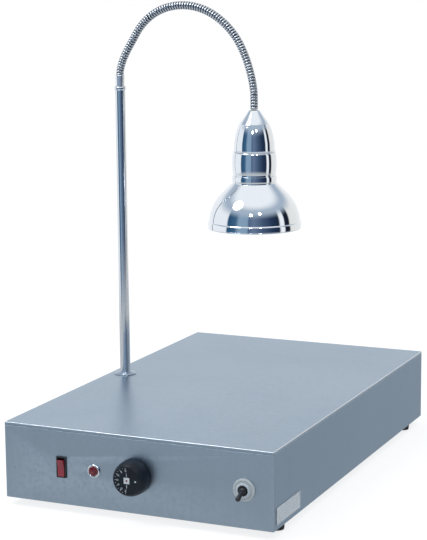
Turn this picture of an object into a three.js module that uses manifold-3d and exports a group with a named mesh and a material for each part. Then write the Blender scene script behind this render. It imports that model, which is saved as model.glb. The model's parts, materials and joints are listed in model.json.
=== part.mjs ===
// Heated carving base with a gooseneck heat lamp.
// Millimetres. X runs from left to right, Y from front to back, Z up from the table.

import * as THREE from "three";
import { mergeVertices } from "three/addons/utils/BufferGeometryUtils.js";
import Module from "manifold-3d";

const wasm = await Module();
wasm.setup();

// ---------------------------------------------------------------- driving sizes

// clearances
const gap = 0.3;              // between two pieces that touch
const seam = 0.5;             // open joint between two sheets
const runningGap = 0.4;       // round a piece that turns

// cabinet
const cabinetWidth = 410;
const cabinetDepth = 650;
const cabinetHeight = 110;
const wallSheet = 1.2;
const lidSheet = 2;
const lidEdge = 4.2;          // how far the lid's edge turns down
const topFlange = 10;
const bottomFlange = 24;
const cornerReturn = 3;       // front panel's bent edge, seen from the side
const rearReturn = 12;        // side panel's bent edge, seen from behind

// feet and screws
const footHeight = 12;
const footRadius = 11;
const footInsetSide = 16;
const footInsetEnd = 50;
const screwRadius = 2;
const screwHeadRadius = 4;
const screwHeadHeight = 2.4;
const screwGrip = 8;          // how far a screw reaches above the underside
const footRecess = 5;         // depth of the screw's recess in the foot
const coverScrewInset = 200;  // from the cabinet's ends

// rating plate
const plateLength = 86;
const plateHeight = 24;
const plateSheet = 0.5;
const plateFromFront = 9;
const plateFromBottom = 7;

// controls on the front, centre heights above the cabinet's underside
const controlHeight = 54;
const rockerFromLeft = 91;
const pilotFromLeft = 142;
const knobFromLeft = 205;
const toggleFromLeft = 368;

const rockerBezelWidth = 15.4;
const rockerBezelHeight = 30.4;
const rockerBezelProud = 2;
const rockerButtonWidth = 10.2;
const rockerButtonHeight = 24.4;
const rockerEndGap = 0.8;     // room for the button's ends as it rocks
const rockerWall = 1.2;
const rockerDepth = 20;
const rockerPivotDepth = 3;
const rockerTilt = 8;         // degrees either side of level
const rockerButtonProud = 8;  // its two ends
const rockerButtonDip = 2;    // its middle is lower by this
const rockerButtonBelow = 5;
const rockerButtonTaper = 2.2;

const pilotBezelRadius = 9.75;
const pilotBezelProud = 2.5;
const pilotStemRadius = 6.4;
const pilotLensRadius = 6.6;
const pilotSeat = 1;          // bezel's metal behind the lens
const pilotDepth = 18;

const knobRadius = 25;
const knobProud = 25;
const knobOffPanel = 1;
const knobHubRadius = 8;
const knobWall = 3;
const shaftRadius = 3;
const thermostatWidth = 42;
const thermostatHeight = 44;
const thermostatDepth = 30;

const collarRadius = 16;
const collarHeight = 3;
const toggleNutRadius = 10.5;
const toggleNutHeight = 2.5;
const bushingWall = 0.8;
const leverBallRadius = 5.6;
const leverLength = 18;
const leverRadius = 2.9;
const leverTipRadius = 3.4;
const leverTilt = 21;         // degrees either side of straight out
const toggleWidth = 20;
const toggleHeight = 28;
const toggleDepth = 24;

// mains gland in the rear panel
const glandFromLeft = 70;
const glandHeight = 42;
const glandLength = 24;       // outside the panel
const glandBore = 4.2;
const glandThread = 7.6;
const glandFlangeRadius = 11;
const glandNutHeight = 4;

// heater under the lid
const matSheet = 2;
const insulationThickness = 25;
const heaterEndInset = 70;
const barWidth = 25;
const barSheet = 1.5;
const barInset = 130;
const sensorRadius = 3;
const sensorLength = 80;
const capillaryRadius = 1;

// inner electrics
const terminalLength = 40;
const terminalWidth = 22;
const terminalHeight = 18;
const leadRadius = 2.6;
const harnessRadius = 3.5;

// post
const postInset = 25;         // from the cabinet's left face
const postFromFront = 325;    // half the depth
const postRadius = 8;
const postWall = 1.2;
const postHeight = 446;       // above the lid
const postBelowLid = 22;
const postFlangeRadius = 17;
const postFlangeHeight = 3;
const postNutRadius = 11;
const postNutHeight = 6;
const postCollarRadius = 9.4;
const postCollarHeight = 4.6;

// gooseneck: five bends of one length, hung on ball ends
const neckRadius = 6.2;
const neckBore = 3.5;
const neckBend = 71;          // length of each bend along its middle
const neckLean = 17;          // degrees from upright where it leaves the post
const neckTurns = [14, 46, 41, 35, 21];
const ferruleRise = 20;       // first ball above the post
const ferrulePlug = 15;       // upper ferrule's length inside the post
const ferrulePlugRadius = postRadius - postWall - 2 * gap;

// lamp, measured down from the last ball of the gooseneck
const lampFerruleLength = 24;
const lampFerruleRadius = 8.5;
const spigotRadius = 5;
const spigotLength = 31;
const shadeWall = 1.2;
const capShoulderRadius = 22;
const capShoulderDrop = 21;   // from the top of the cap
const capLength = 62;
const neckPartRadius = 32.2;
const neckPartLength = 34;
const neckPartStep = 0.8;     // lower neck is wider by this
const bellTopRadius = 38.5;
const bellRadius = 68.6;
const bellLength = 57;
const rimRadius = 69.8;
const rimHeight = 11;
const holderRadius = 20;
const holderFlangeRadius = 27;
const bulbBaseRadius = 12.9;
const bulbNeckRadius = 12.8;
const bulbRadius = 59;
const bulbSheet = 1.5;
const bulbSetback = 12;       // from the rim up to the bulb's face

// ---------------------------------------------------------------- finishes

function finish(color, roughness, metalness) {
  return () => new THREE.MeshStandardMaterial({ color, roughness, metalness });
}

const brushedSteel = finish(0xa3aeb8, 0.42, 1);
const plainSteel = finish(0x8c9196, 0.5, 1);
const chrome = finish(0xe6eaee, 0.08, 1);
const aluminium = finish(0xc3c9cf, 0.4, 1);
const blackPlastic = finish(0x14161a, 0.35, 0);
const redPlastic = finish(0xa52234, 0.3, 0);
const redLens = finish(0x7c1a26, 0.2, 0);
const palePlastic = finish(0xc9ccc8, 0.4, 0);
const blackRubber = finish(0x141414, 0.8, 0);
const siliconeMat = finish(0x9a4a30, 0.7, 0);
const mineralBoard = finish(0xd9d4c6, 0.95, 0);
const ceramic = finish(0xe8e4da, 0.35, 0);
const brass = finish(0xb8964f, 0.35, 1);
const frostedGlass = finish(0xe9e6df, 0.25, 0);
const copper = finish(0xa9663a, 0.4, 1);
const leadSheath = finish(0xb9b3a6, 0.6, 0);

// ---------------------------------------------------------------- solids

// A closed geometry with shared corners, no empty triangles, and its faces pointing out.
function tidy(geometry) {
  const bare = geometry.clone();
  bare.deleteAttribute("normal");
  bare.deleteAttribute("uv");
  const shared = mergeVertices(bare, 1e-4);
  const spots = shared.attributes.position;
  const corners = shared.index ? Array.from(shared.index.array) : [...spots.array.keys()];
  const kept = [];
  let volume = 0;
  const [a, b, c] = [new THREE.Vector3(), new THREE.Vector3(), new THREE.Vector3()];
  for (let i = 0; i < corners.length; i += 3) {
    const [p, q, r] = corners.slice(i, i + 3);
    if (p === q || q === r || r === p) continue;
    kept.push(p, q, r);
    a.fromBufferAttribute(spots, p);
    b.fromBufferAttribute(spots, q);
    c.fromBufferAttribute(spots, r);
    volume += a.dot(b.cross(c));
  }
  shared.setIndex(volume < 0 ? kept.reverse() : kept);
  return shared;
}

function toSolid(geometry) {
  const closed = tidy(geometry);
  const mesh = new wasm.Mesh({
    numProp: 3,
    vertProperties: Float32Array.from(closed.attributes.position.array),
    triVerts: Uint32Array.from(closed.index.array),
  });
  return new wasm.Manifold(mesh);
}

function toGeometry(solid) {
  const mesh = solid.getMesh();
  const geometry = new THREE.BufferGeometry();
  geometry.setAttribute("position", new THREE.BufferAttribute(Float32Array.from(mesh.vertProperties), 3));
  geometry.setIndex(Array.from(mesh.triVerts));
  return geometry;
}

function join(...geometries) {
  const [first, ...others] = geometries.map(toSolid);
  return toGeometry(others.reduce((whole, other) => whole.add(other), first));
}

function cut(geometry, ...tools) {
  const solids = tools.map(toSolid);
  return toGeometry(solids.reduce((whole, tool) => whole.subtract(tool), toSolid(geometry)));
}

// A box between two opposite corners, in any order.
function box([x0, y0, z0], [x1, y1, z1]) {
  const geometry = new THREE.BoxGeometry(Math.abs(x1 - x0), Math.abs(y1 - y0), Math.abs(z1 - z0));
  return geometry.translate((x0 + x1) / 2, (y0 + y1) / 2, (z0 + z1) / 2);
}

// A turned piece about Z. The outline lists [radius, z] from axis to axis.
function turned(outline, sides = 20) {
  const points = outline.map(([radius, z]) => new THREE.Vector2(radius, z));
  return tidy(new THREE.LatheGeometry(points, sides).rotateX(Math.PI / 2));
}

// A turned piece with a hole right through: its outline closes on itself.
function turnedRing(outline, sides = 20) {
  return turned([...outline, outline[0]], sides);
}

function disc(radius, z0, z1, sides = 20) {
  return turned([[0, z0], [radius, z0], [radius, z1], [0, z1]], sides);
}

function ring(inner, outer, z0, z1, sides = 20) {
  return turnedRing([[inner, z0], [outer, z0], [outer, z1], [inner, z1]], sides);
}

function ball(radius, sides = 12) {
  return new THREE.SphereGeometry(radius, sides, Math.round(sides * 0.6)).rotateX(Math.PI / 2);
}

// A round bar or tube along a curve.
function swept(curve, radius, sides, steps) {
  const section = new THREE.Shape();
  section.absarc(0, 0, radius, 0, 2 * Math.PI);
  return new THREE.ExtrudeGeometry(section, {
    steps,
    bevelEnabled: false,
    extrudePath: curve,
    curveSegments: sides / 2,
  });
}

// The outline moved sideways by a wall's thickness, towards the axis.
function insideOf(outline, wall) {
  return outline.map(([radius, z], i) => {
    const [r0, z0] = outline[Math.max(i - 1, 0)];
    const [r1, z1] = outline[Math.min(i + 1, outline.length - 1)];
    const length = Math.hypot(r1 - r0, z1 - z0);
    return [Math.max(radius - wall * (z1 - z0) / length, 0), z + wall * (r1 - r0) / length];
  });
}

// ---------------------------------------------------------------- scene graph

const product = new THREE.Group();

function group(parent, x = 0, y = 0, z = 0) {
  const made = new THREE.Group();
  made.position.set(x, y, z);
  parent.add(made);
  return made;
}

function piece(parent, name, geometry, material, x = 0, y = 0, z = 0) {
  const mesh = new THREE.Mesh(geometry, material());
  mesh.name = name;
  mesh.position.set(x, y, z);
  parent.add(mesh);
  return mesh;
}

// ---------------------------------------------------------------- where things stand

const radians = THREE.MathUtils.degToRad;
const leverPivotOut = gap + collarHeight + toggleNutHeight - leverTipRadius / 4;
const leverProud = leverPivotOut + leverLength * Math.cos(radians(leverTilt)) + leverTipRadius;
const frontProud = Math.max(knobProud, leverProud);
const rearProud = glandLength - wallSheet - gap;
const sideProud = gap + plateSheet;

// The middle of the whole object's footprint is at X 0, Y 0.
const middle = -sideProud / 2;
const front = (frontProud - rearProud - cabinetDepth) / 2;
const rear = front + cabinetDepth;
const halfWidth = cabinetWidth / 2;
const left = middle - halfWidth;
const right = middle + halfWidth;
const underside = footHeight;
const top = footHeight + cabinetHeight;
const lidUnder = top - lidSheet;
const wallTop = top - lidEdge - gap;
const wallBottom = underside;
const sideFront = front + cornerReturn + seam;
const rearPanelOuter = rear - wallSheet - gap;
const rearPanelInner = rearPanelOuter - wallSheet;
const sideRear = rearPanelInner - gap;
const controlZ = underside + controlHeight;
const postX = left + postInset;
const postY = front + postFromFront;
const postTop = top + postHeight;
const coverBottom = underside + wallSheet + gap;
const coverTop = coverBottom + wallSheet;
const footX = halfWidth - footInsetSide;
const screwTop = underside + screwGrip;

// ---------------------------------------------------------------- cabinet

function lid() {
  const plate = box([left, front, lidUnder], [right, rear, top]);
  const edges = [
    box([left, front, top - lidEdge], [left + lidSheet, rear, top]),
    box([right - lidSheet, front, top - lidEdge], [right, rear, top]),
    box([left, front, top - lidEdge], [right, front + lidSheet, top]),
    box([left, rear - lidSheet, top - lidEdge], [right, rear, top]),
  ];
  const postHole = disc(postRadius + gap, lidUnder - 1, top + 1).translate(postX, postY, 0);
  return cut(join(plate, ...edges), postHole);
}

function frontPanel() {
  const topSpan = halfWidth - wallSheet - topFlange - seam;
  const bottomSpan = halfWidth - bottomFlange - seam;
  const flangeTop = wallTop - wallSheet;
  const flangeBottom = wallBottom + wallSheet;
  const sheets = join(
    box([left, front, wallBottom], [right, front + wallSheet, wallTop]),
    box([left, front, wallBottom], [left + wallSheet, front + cornerReturn, wallTop]),
    box([right - wallSheet, front, wallBottom], [right, front + cornerReturn, wallTop]),
    box([middle - topSpan, front, flangeTop], [middle + topSpan, front + wallSheet + topFlange, wallTop]),
    box([middle - bottomSpan, front, wallBottom], [middle + bottomSpan, front + bottomFlange, flangeBottom]),
  );
  const hole = (radius, fromLeft) =>
    disc(radius, -5, 5).rotateX(Math.PI / 2).translate(left + fromLeft, front, controlZ);
  const rockerX = left + rockerFromLeft;
  const rockerHalfWidth = rockerButtonWidth / 2 + runningGap + rockerWall + gap;
  const rockerHalfHeight = rockerButtonHeight / 2 + rockerEndGap + rockerWall + gap;
  return cut(
    sheets,
    hole(pilotStemRadius + gap, pilotFromLeft),
    hole(shaftRadius + 2, knobFromLeft),
    hole(leverBallRadius + runningGap + bushingWall + gap, toggleFromLeft),
    box(
      [rockerX - rockerHalfWidth, front - 5, controlZ - rockerHalfHeight],
      [rockerX + rockerHalfWidth, front + 5, controlZ + rockerHalfHeight],
    ),
  );
}

// side is 1 for the right panel and -1 for the left one
function sidePanel(side) {
  const outer = middle + side * halfWidth;
  const wall = outer - side * wallSheet;
  const sheets = join(
    box([outer, sideFront, wallBottom], [wall, rear, wallTop]),
    box([outer, rear - wallSheet, wallBottom], [outer - side * rearReturn, rear, wallTop]),
    box([outer, sideFront, wallTop - wallSheet], [wall - side * topFlange, sideRear, wallTop]),
    box([outer, sideFront, wallBottom], [outer - side * bottomFlange, sideRear, wallBottom + wallSheet]),
  );
  const screwHoles = undersideScrews()
    .filter(([x]) => x * side > 0)
    .map(([x, y]) => disc(screwRadius + gap, 0, coverBottom, 12).translate(x, y, 0));
  return cut(sheets, ...screwHoles);
}

function rearPanel() {
  const span = halfWidth - wallSheet - gap;
  const topSpan = halfWidth - wallSheet - topFlange - seam;
  const bottomSpan = halfWidth - bottomFlange - seam;
  const sheets = join(
    box([middle - span, rearPanelInner, wallBottom], [middle + span, rearPanelOuter, wallTop]),
    box(
      [middle - topSpan, rearPanelInner - topFlange, wallTop - wallSheet],
      [middle + topSpan, rearPanelOuter, wallTop],
    ),
    box(
      [middle - bottomSpan, rearPanelInner - bottomFlange, wallBottom],
      [middle + bottomSpan, rearPanelOuter, wallBottom + wallSheet],
    ),
  );
  const glandHole = disc(glandThread + gap, -5, 5).rotateX(Math.PI / 2);
  return cut(sheets, glandHole.translate(left + glandFromLeft, rearPanelOuter, underside + glandHeight));
}

function bottomCover() {
  const span = halfWidth - wallSheet - gap;
  const sheet = box(
    [middle - span, front + wallSheet + gap, coverBottom],
    [middle + span, sideRear, coverTop],
  );
  const holes = undersideScrews().map(([x, y]) =>
    disc(screwRadius + gap, underside, coverTop + 1, 12).translate(x, y, 0));
  return cut(sheet, ...holes);
}

// Places of the screws that come up through the underside: the feet's, then the cover's.
function undersideScrews() {
  return [footInsetEnd, coverScrewInset].flatMap((inset) =>
    [front + inset, rear - inset].flatMap((y) =>
      [middle - footX, middle + footX].map((x) => [x, y])));
}

function foot() {
  return turnedRing([
    [screwRadius + gap, footRecess],
    [screwHeadRadius + 1, footRecess],
    [screwHeadRadius + 1, 0],
    [footRadius - 1.5, 0],
    [footRadius - 0.5, 1],
    [footRadius, footHeight - gap],
    [screwRadius + gap, footHeight - gap],
  ], 16);
}

// A pan-head screw, head down, with the top of its head at the height given.
function screw(headTop) {
  return turned([
    [0, headTop - screwHeadHeight],
    [screwHeadRadius * 0.7, headTop - screwHeadHeight],
    [screwHeadRadius, headTop - screwHeadHeight * 0.6],
    [screwHeadRadius, headTop],
    [screwRadius, headTop],
    [screwRadius, screwTop],
    [0, screwTop],
  ], 10);
}

const cabinet = group(product);
piece(cabinet, "top_panel", lid(), brushedSteel);
piece(cabinet, "front_panel", frontPanel(), brushedSteel);
piece(cabinet, "left_panel", sidePanel(-1), brushedSteel);
piece(cabinet, "right_panel", sidePanel(1), brushedSteel);
piece(cabinet, "rear_panel", rearPanel(), brushedSteel);
piece(cabinet, "bottom_cover", bottomCover(), plainSteel);
piece(
  cabinet,
  "rating_plate",
  box([0, 0, 0], [plateSheet, plateLength, plateHeight]),
  aluminium,
  right + gap, front + plateFromFront, underside + plateFromBottom,
);

const corners = ["front_left", "front_right", "rear_left", "rear_right"];
undersideScrews().forEach(([x, y], i) => {
  const corner = corners[i % 4];
  if (i < 4) {
    piece(cabinet, `foot_${corner}`, foot(), blackRubber, x, y);
    piece(cabinet, `foot_screw_${corner}`, screw(footRecess - gap), plainSteel, x, y);
  } else {
    piece(cabinet, `cover_screw_${corner}`, screw(underside - gap), plainSteel, x, y);
  }
});

// ---------------------------------------------------------------- heater

const heaterLeft = postX + postNutRadius + 8;
const barUpright = halfWidth - wallSheet - topFlange - 2;
const heaterRight = middle + barUpright - barSheet - gap;
const heaterFront = front + heaterEndInset;
const heaterRear = rear - heaterEndInset;
const matBottom = lidUnder - gap - matSheet;
const insulationTop = matBottom - gap;
const insulationBottom = insulationTop - insulationThickness;
const sensorX = middle;
const sensorY = heaterFront + 60;
const sensorZ = insulationTop - sensorRadius - gap;

// The sensor lies in a groove that runs in from the board's front edge.
function insulation() {
  const board = box([heaterLeft, heaterFront, insulationBottom], [heaterRight, heaterRear, insulationTop]);
  const half = sensorRadius + 1;
  const groove = box(
    [sensorX - half, heaterFront - 1, sensorZ - half],
    [sensorX + half, sensorY + sensorLength + 2, insulationTop + 1],
  );
  return cut(board, groove);
}

// A strip under the board, bent up at both ends and hooked under the side panels' flanges.
function supportBar(y) {
  const barTop = insulationBottom - gap;
  const hookTop = wallTop - wallSheet - gap;
  const outer = middle + barUpright;
  const inner = middle - barUpright;
  const hook = topFlange - 1;
  return join(
    box([inner, y, barTop - barSheet], [outer, y + barWidth, barTop]),
    box([outer - barSheet, y, barTop - barSheet], [outer, y + barWidth, hookTop]),
    box([outer - barSheet, y, hookTop - barSheet], [outer + hook, y + barWidth, hookTop]),
    box([inner, y, barTop - barSheet], [inner + barSheet, y + barWidth, hookTop]),
    box([inner - hook, y, hookTop - barSheet], [inner + barSheet, y + barWidth, hookTop]),
  );
}

function through(points) {
  return new THREE.CatmullRomCurve3(points.map((point) => new THREE.Vector3(...point)), false, "centripetal");
}

const thermostatX = left + knobFromLeft;
const thermostatBack = front + wallSheet + gap + thermostatDepth;

const heater = group(product);
piece(
  heater,
  "heating_mat",
  box([heaterLeft, heaterFront, matBottom], [heaterRight, heaterRear, matBottom + matSheet]),
  siliconeMat,
);
piece(heater, "insulation_board", insulation(), mineralBoard);
piece(heater, "support_bar_front", supportBar(front + barInset), plainSteel);
piece(heater, "support_bar_rear", supportBar(rear - barInset - barWidth), plainSteel);
piece(
  heater,
  "sensor_bulb",
  disc(sensorRadius, 0, sensorLength, 12).rotateX(-Math.PI / 2),
  copper,
  sensorX, sensorY, sensorZ,
);
const capillaryRoute = through([
  [thermostatX, thermostatBack + gap, controlZ + 10],
  [thermostatX, thermostatBack + 8, controlZ + 10],
  [sensorX, heaterFront - 16, sensorZ - 8],
  [sensorX, heaterFront - 4, sensorZ],
  [sensorX, heaterFront + 10, sensorZ],
  [sensorX, sensorY - gap, sensorZ],
]);
piece(heater, "capillary_tube", swept(capillaryRoute, capillaryRadius, 8, 18), copper);

// ---------------------------------------------------------------- controls

// Each control stands in a group of its own: local Z points out of the front panel,
// local Y up, and its origin lies on the panel's outer face.
function controlGroup(fromLeft) {
  const made = group(product, left + fromLeft, front, controlZ);
  made.rotation.x = Math.PI / 2;
  return made;
}

const behindPanel = -(wallSheet + gap);

function rockerHousing() {
  const openWidth = rockerButtonWidth / 2 + runningGap;
  const openHeight = rockerButtonHeight / 2 + rockerEndGap;
  const bezelTop = gap + rockerBezelProud;
  const bezel = box(
    [-rockerBezelWidth / 2, -rockerBezelHeight / 2, gap],
    [rockerBezelWidth / 2, rockerBezelHeight / 2, bezelTop],
  );
  const body = box(
    [-openWidth - rockerWall, -openHeight - rockerWall, -rockerDepth],
    [openWidth + rockerWall, openHeight + rockerWall, bezelTop],
  );
  const well = box([-openWidth, -openHeight, -rockerDepth + 2], [openWidth, openHeight, bezelTop + 1]);
  return cut(join(bezel, body), well);
}

// The rocker's side outline about its pivot: a shallow V in front, narrower behind.
function rockerButton() {
  const end = rockerButtonHeight / 2;
  const waist = end - 1;
  const foot = waist - rockerButtonTaper;
  const dip = rockerButtonProud - rockerButtonDip;
  const outline = new THREE.Shape();
  outline.moveTo(end, rockerButtonProud);
  outline.lineTo(0, dip);
  outline.lineTo(-end, rockerButtonProud);
  outline.lineTo(-waist, dip);
  outline.lineTo(-foot, -rockerButtonBelow);
  outline.lineTo(foot, -rockerButtonBelow);
  outline.lineTo(waist, dip);
  outline.closePath();
  const solid = new THREE.ExtrudeGeometry(outline, { depth: rockerButtonWidth, bevelEnabled: false });
  solid.translate(0, 0, -rockerButtonWidth / 2);
  const turnUpright = new THREE.Matrix4().makeBasis(
    new THREE.Vector3(0, 1, 0),
    new THREE.Vector3(0, 0, 1),
    new THREE.Vector3(1, 0, 0),
  );
  return tidy(solid.applyMatrix4(turnUpright));
}

function pilotBezel() {
  const lip = gap + pilotBezelProud;
  const recess = pilotLensRadius + gap;
  return turned([
    [0, -pilotDepth],
    [pilotStemRadius, -pilotDepth],
    [pilotStemRadius, gap],
    [pilotBezelRadius, gap],
    [pilotBezelRadius, lip - 1],
    [pilotBezelRadius - 1, lip],
    [recess, lip],
    [recess, gap + pilotSeat],
    [0, gap + pilotSeat],
  ]);
}

function pilotLens() {
  const base = 2 * gap + pilotSeat;
  const shoulder = gap + pilotBezelProud;
  return turned([
    [0, base],
    [pilotLensRadius, base],
    [pilotLensRadius, shoulder],
    [pilotLensRadius * 0.8, shoulder + 1.5],
    [pilotLensRadius * 0.4, shoulder + 2.2],
    [0, shoulder + 2.4],
  ]);
}

function thermostatBody() {
  const half = [thermostatWidth / 2, thermostatHeight / 2];
  const body = box(
    [-half[0], -half[1], behindPanel - thermostatDepth],
    [half[0], half[1], behindPanel],
  );
  return cut(body, disc(shaftRadius + runningGap, behindPanel - 14, behindPanel + 1, 16));
}

function thermostatShaft() {
  return disc(shaftRadius, behindPanel - 13, knobProud - 9, 16);
}

function knob() {
  const bore = shaftRadius + gap;
  const skirt = knobRadius - knobWall;
  return turned([
    [0, knobProud],
    [knobRadius - 3, knobProud],
    [knobRadius - 1.4, knobProud - 0.6],
    [knobRadius - 0.8, knobProud - 2],
    [knobRadius, knobOffPanel],
    [skirt, knobOffPanel],
    [skirt, 7],
    [knobHubRadius, 7],
    [knobHubRadius, knobOffPanel + 1],
    [bore, knobOffPanel + 1],
    [bore, knobProud - 9 + gap],
    [0, knobProud - 9 + gap],
  ], 28);
}

const bushingBore = leverBallRadius + runningGap;
const bushingRadius = bushingBore + bushingWall;
const nutBottom = gap + collarHeight + gap;
const nutTop = nutBottom + toggleNutHeight;

function toggleBody() {
  const block = box(
    [-toggleWidth / 2, -toggleHeight / 2, behindPanel - toggleDepth],
    [toggleWidth / 2, toggleHeight / 2, behindPanel],
  );
  const bushing = disc(bushingRadius, behindPanel - 1, nutTop - gap);
  const well = disc(bushingBore, leverPivotOut - leverBallRadius - runningGap, nutTop + 1);
  return cut(join(block, bushing), well);
}

function toggleCollar() {
  const bore = bushingRadius + gap;
  return turnedRing([
    [bore, gap],
    [collarRadius, gap],
    [collarRadius, gap + collarHeight * 0.5],
    [collarRadius - 1.2, gap + collarHeight],
    [bore, gap + collarHeight],
  ], 24);
}

function toggleNut() {
  return ring(bushingRadius + gap, toggleNutRadius, nutBottom, nutTop);
}

function toggleLever() {
  const bat = turned([
    [0, 0],
    [leverRadius, 0],
    [leverTipRadius, leverLength],
    [leverTipRadius * 0.7, leverLength + leverTipRadius * 0.7],
    [0, leverLength + leverTipRadius],
  ], 12);
  return join(ball(leverBallRadius, 16), bat);
}

const rocker = controlGroup(rockerFromLeft);
piece(rocker, "rocker_housing", rockerHousing(), blackPlastic);
const button = piece(rocker, "rocker_button", rockerButton(), redPlastic, 0, 0, -rockerPivotDepth);
button.rotation.x = radians(rockerTilt);

const pilot = controlGroup(pilotFromLeft);
piece(pilot, "pilot_bezel", pilotBezel(), chrome);
piece(pilot, "pilot_lens", pilotLens(), redLens);

const thermostat = controlGroup(knobFromLeft);
piece(thermostat, "thermostat_body", thermostatBody(), ceramic);
piece(thermostat, "thermostat_shaft", thermostatShaft(), plainSteel);
piece(thermostat, "thermostat_knob", knob(), blackPlastic);

const toggle = controlGroup(toggleFromLeft);
piece(toggle, "toggle_body", toggleBody(), blackPlastic);
piece(toggle, "toggle_collar", toggleCollar(), palePlastic);
piece(toggle, "toggle_nut", toggleNut(), chrome);
const lever = piece(toggle, "toggle_lever", toggleLever(), blackPlastic, 0, 0, leverPivotOut);
lever.rotation.x = radians(leverTilt);

// ---------------------------------------------------------------- mains gland and wiring

// The gland's group: local Z points out of the rear panel, from its outer face.
const gland = group(product, left + glandFromLeft, rearPanelOuter, underside + glandHeight);
gland.rotation.x = -Math.PI / 2;
piece(gland, "cable_gland", turnedRing([
  [glandBore, -12],
  [glandThread, -12],
  [glandThread, gap],
  [glandFlangeRadius, gap],
  [glandFlangeRadius, 5],
  [glandFlangeRadius - 1.2, 5.5],
  [glandFlangeRadius - 1.2, glandLength - 8],
  [glandBore + 2.4, glandLength],
  [glandBore, glandLength],
]), blackPlastic);
piece(
  gland,
  "gland_nut",
  ring(glandThread + gap, glandFlangeRadius, behindPanel - glandNutHeight, behindPanel),
  blackPlastic,
);

const terminalX = left + 70;
const terminalY = rear - 110;
const terminalZ = coverTop + gap;
const leadZ = terminalZ + terminalHeight / 2;

const wiring = group(product);
piece(
  wiring,
  "terminal_block",
  box([-terminalLength / 2, -terminalWidth / 2, 0], [terminalLength / 2, terminalWidth / 2, terminalHeight]),
  ceramic,
  terminalX, terminalY, terminalZ,
);
const rockerX = left + rockerFromLeft;
const harnessRoute = through([
  [terminalX, terminalY - terminalWidth / 2 - gap, leadZ],
  [terminalX, terminalY - terminalWidth / 2 - 10, leadZ],
  [rockerX, front + 240, leadZ],
  [rockerX, front + 100, leadZ],
  [rockerX, front + 66, leadZ + 6],
  [rockerX, front + 46, controlZ - 12],
  [rockerX, front + rockerDepth + 14, controlZ],
  [rockerX, front + rockerDepth + gap, controlZ],
]);
piece(wiring, "control_harness", swept(harnessRoute, harnessRadius, 8, 26), leadSheath);
const heaterLeadZ = lidUnder - gap - leadRadius;
const heaterLeadRoute = through([
  [terminalX + terminalLength / 2 + gap, terminalY, leadZ],
  [terminalX + terminalLength / 2 + 8, terminalY, leadZ],
  [terminalX + terminalLength / 2 + 22, terminalY + 6, leadZ + 4],
  [terminalX + terminalLength / 2 + 30, heaterRear + 34, leadZ + 30],
  [terminalX + terminalLength / 2 + 30, heaterRear + 26, heaterLeadZ - 6],
  [terminalX + terminalLength / 2 + 30, heaterRear + 14, heaterLeadZ],
  [terminalX + terminalLength / 2 + 30, heaterRear + gap, heaterLeadZ],
]);
piece(wiring, "heater_lead", swept(heaterLeadRoute, leadRadius, 8, 16), leadSheath);
const firstBallZ = postTop + ferruleRise;
const lampLeadRoute = through([
  [terminalX - terminalLength / 2 - gap, terminalY, leadZ],
  [terminalX - terminalLength / 2 - 8, terminalY, leadZ],
  [terminalX - terminalLength / 2 - 20, terminalY - 14, leadZ],
  [postX, terminalY - 60, leadZ],
  [postX, postY + 40, leadZ + 4],
  [postX, postY + 10, leadZ + 28],
  [postX, postY, leadZ + 60],
  [postX, postY, lidUnder],
  [postX, postY, top + postHeight / 3],
  [postX, postY, top + postHeight * 2 / 3],
  [postX, postY, firstBallZ],
]);
piece(wiring, "lamp_lead", swept(lampLeadRoute, leadRadius, 8, 34), leadSheath);

// ---------------------------------------------------------------- post

const post = group(product, postX, postY, 0);
piece(
  post,
  "post_tube",
  ring(postRadius - postWall, postRadius, lidUnder - postBelowLid, postTop, 24),
  chrome,
);
piece(post, "post_flange", turnedRing([
  [postRadius + gap, top + gap],
  [postFlangeRadius, top + gap],
  [postFlangeRadius - 1, top + postFlangeHeight * 0.6],
  [postRadius + 3, top + postFlangeHeight],
  [postRadius + gap, top + postFlangeHeight],
], 24), chrome);
piece(
  post,
  "post_nut",
  ring(postRadius + gap, postNutRadius, lidUnder - gap - postNutHeight, lidUnder - gap),
  plainSteel,
);
const collarBottom = postTop + gap;
const collarTop = collarBottom + postCollarHeight;
piece(post, "post_collar", turnedRing([
  [neckRadius + gap, collarBottom],
  [postCollarRadius - 1.2, collarBottom],
  [postCollarRadius, collarBottom + postCollarHeight * 0.3],
  [postCollarRadius, collarBottom + postCollarHeight * 0.7],
  [postCollarRadius - 1.2, collarTop],
  [neckRadius + gap, collarTop],
]), chrome);

function upperFerrule() {
  const stem = join(
    disc(ferrulePlugRadius, -ferruleRise - ferrulePlug, gap - ferruleRise, 12),
    disc(neckRadius, gap - ferruleRise, 0, 12),
    ball(neckRadius),
  );
  return cut(stem, disc(neckBore, -ferruleRise - ferrulePlug - 1, neckRadius + 1, 10));
}

piece(post, "upper_ferrule", upperFerrule(), chrome, 0, 0, firstBallZ);

// ---------------------------------------------------------------- gooseneck

// The middle line of one bend: it starts upward and curves over towards +X.
class Bend extends THREE.Curve {
  constructor(length, turn) {
    super();
    this.turn = turn;
    this.radius = length / turn;
  }

  getPoint(t) {
    const angle = this.turn * t;
    return new THREE.Vector3(this.radius * (1 - Math.cos(angle)), 0, this.radius * Math.sin(angle));
  }
}

// The same line with both ends carried on, for the tool that bores it.
class LongBend extends Bend {
  getPoint(t) {
    return super.getPoint(t * 1.3 - 0.15);
  }
}

const cupRadius = neckRadius + gap;
const cupSides = 18;          // enough for the next ball to turn in without touching a flat

// One bend of the gooseneck: a cup at its start, round the ball before it, and a ball at its end.
function neckSegment(turn) {
  const middleLine = new Bend(neckBend, turn);
  const end = middleLine.getPoint(1);
  const solid = join(swept(middleLine, neckRadius, 12, 5), ball(neckRadius).translate(end.x, 0, end.z));
  return cut(solid, ball(cupRadius, cupSides), swept(new LongBend(neckBend, turn), neckBore, 8, 5));
}

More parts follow.
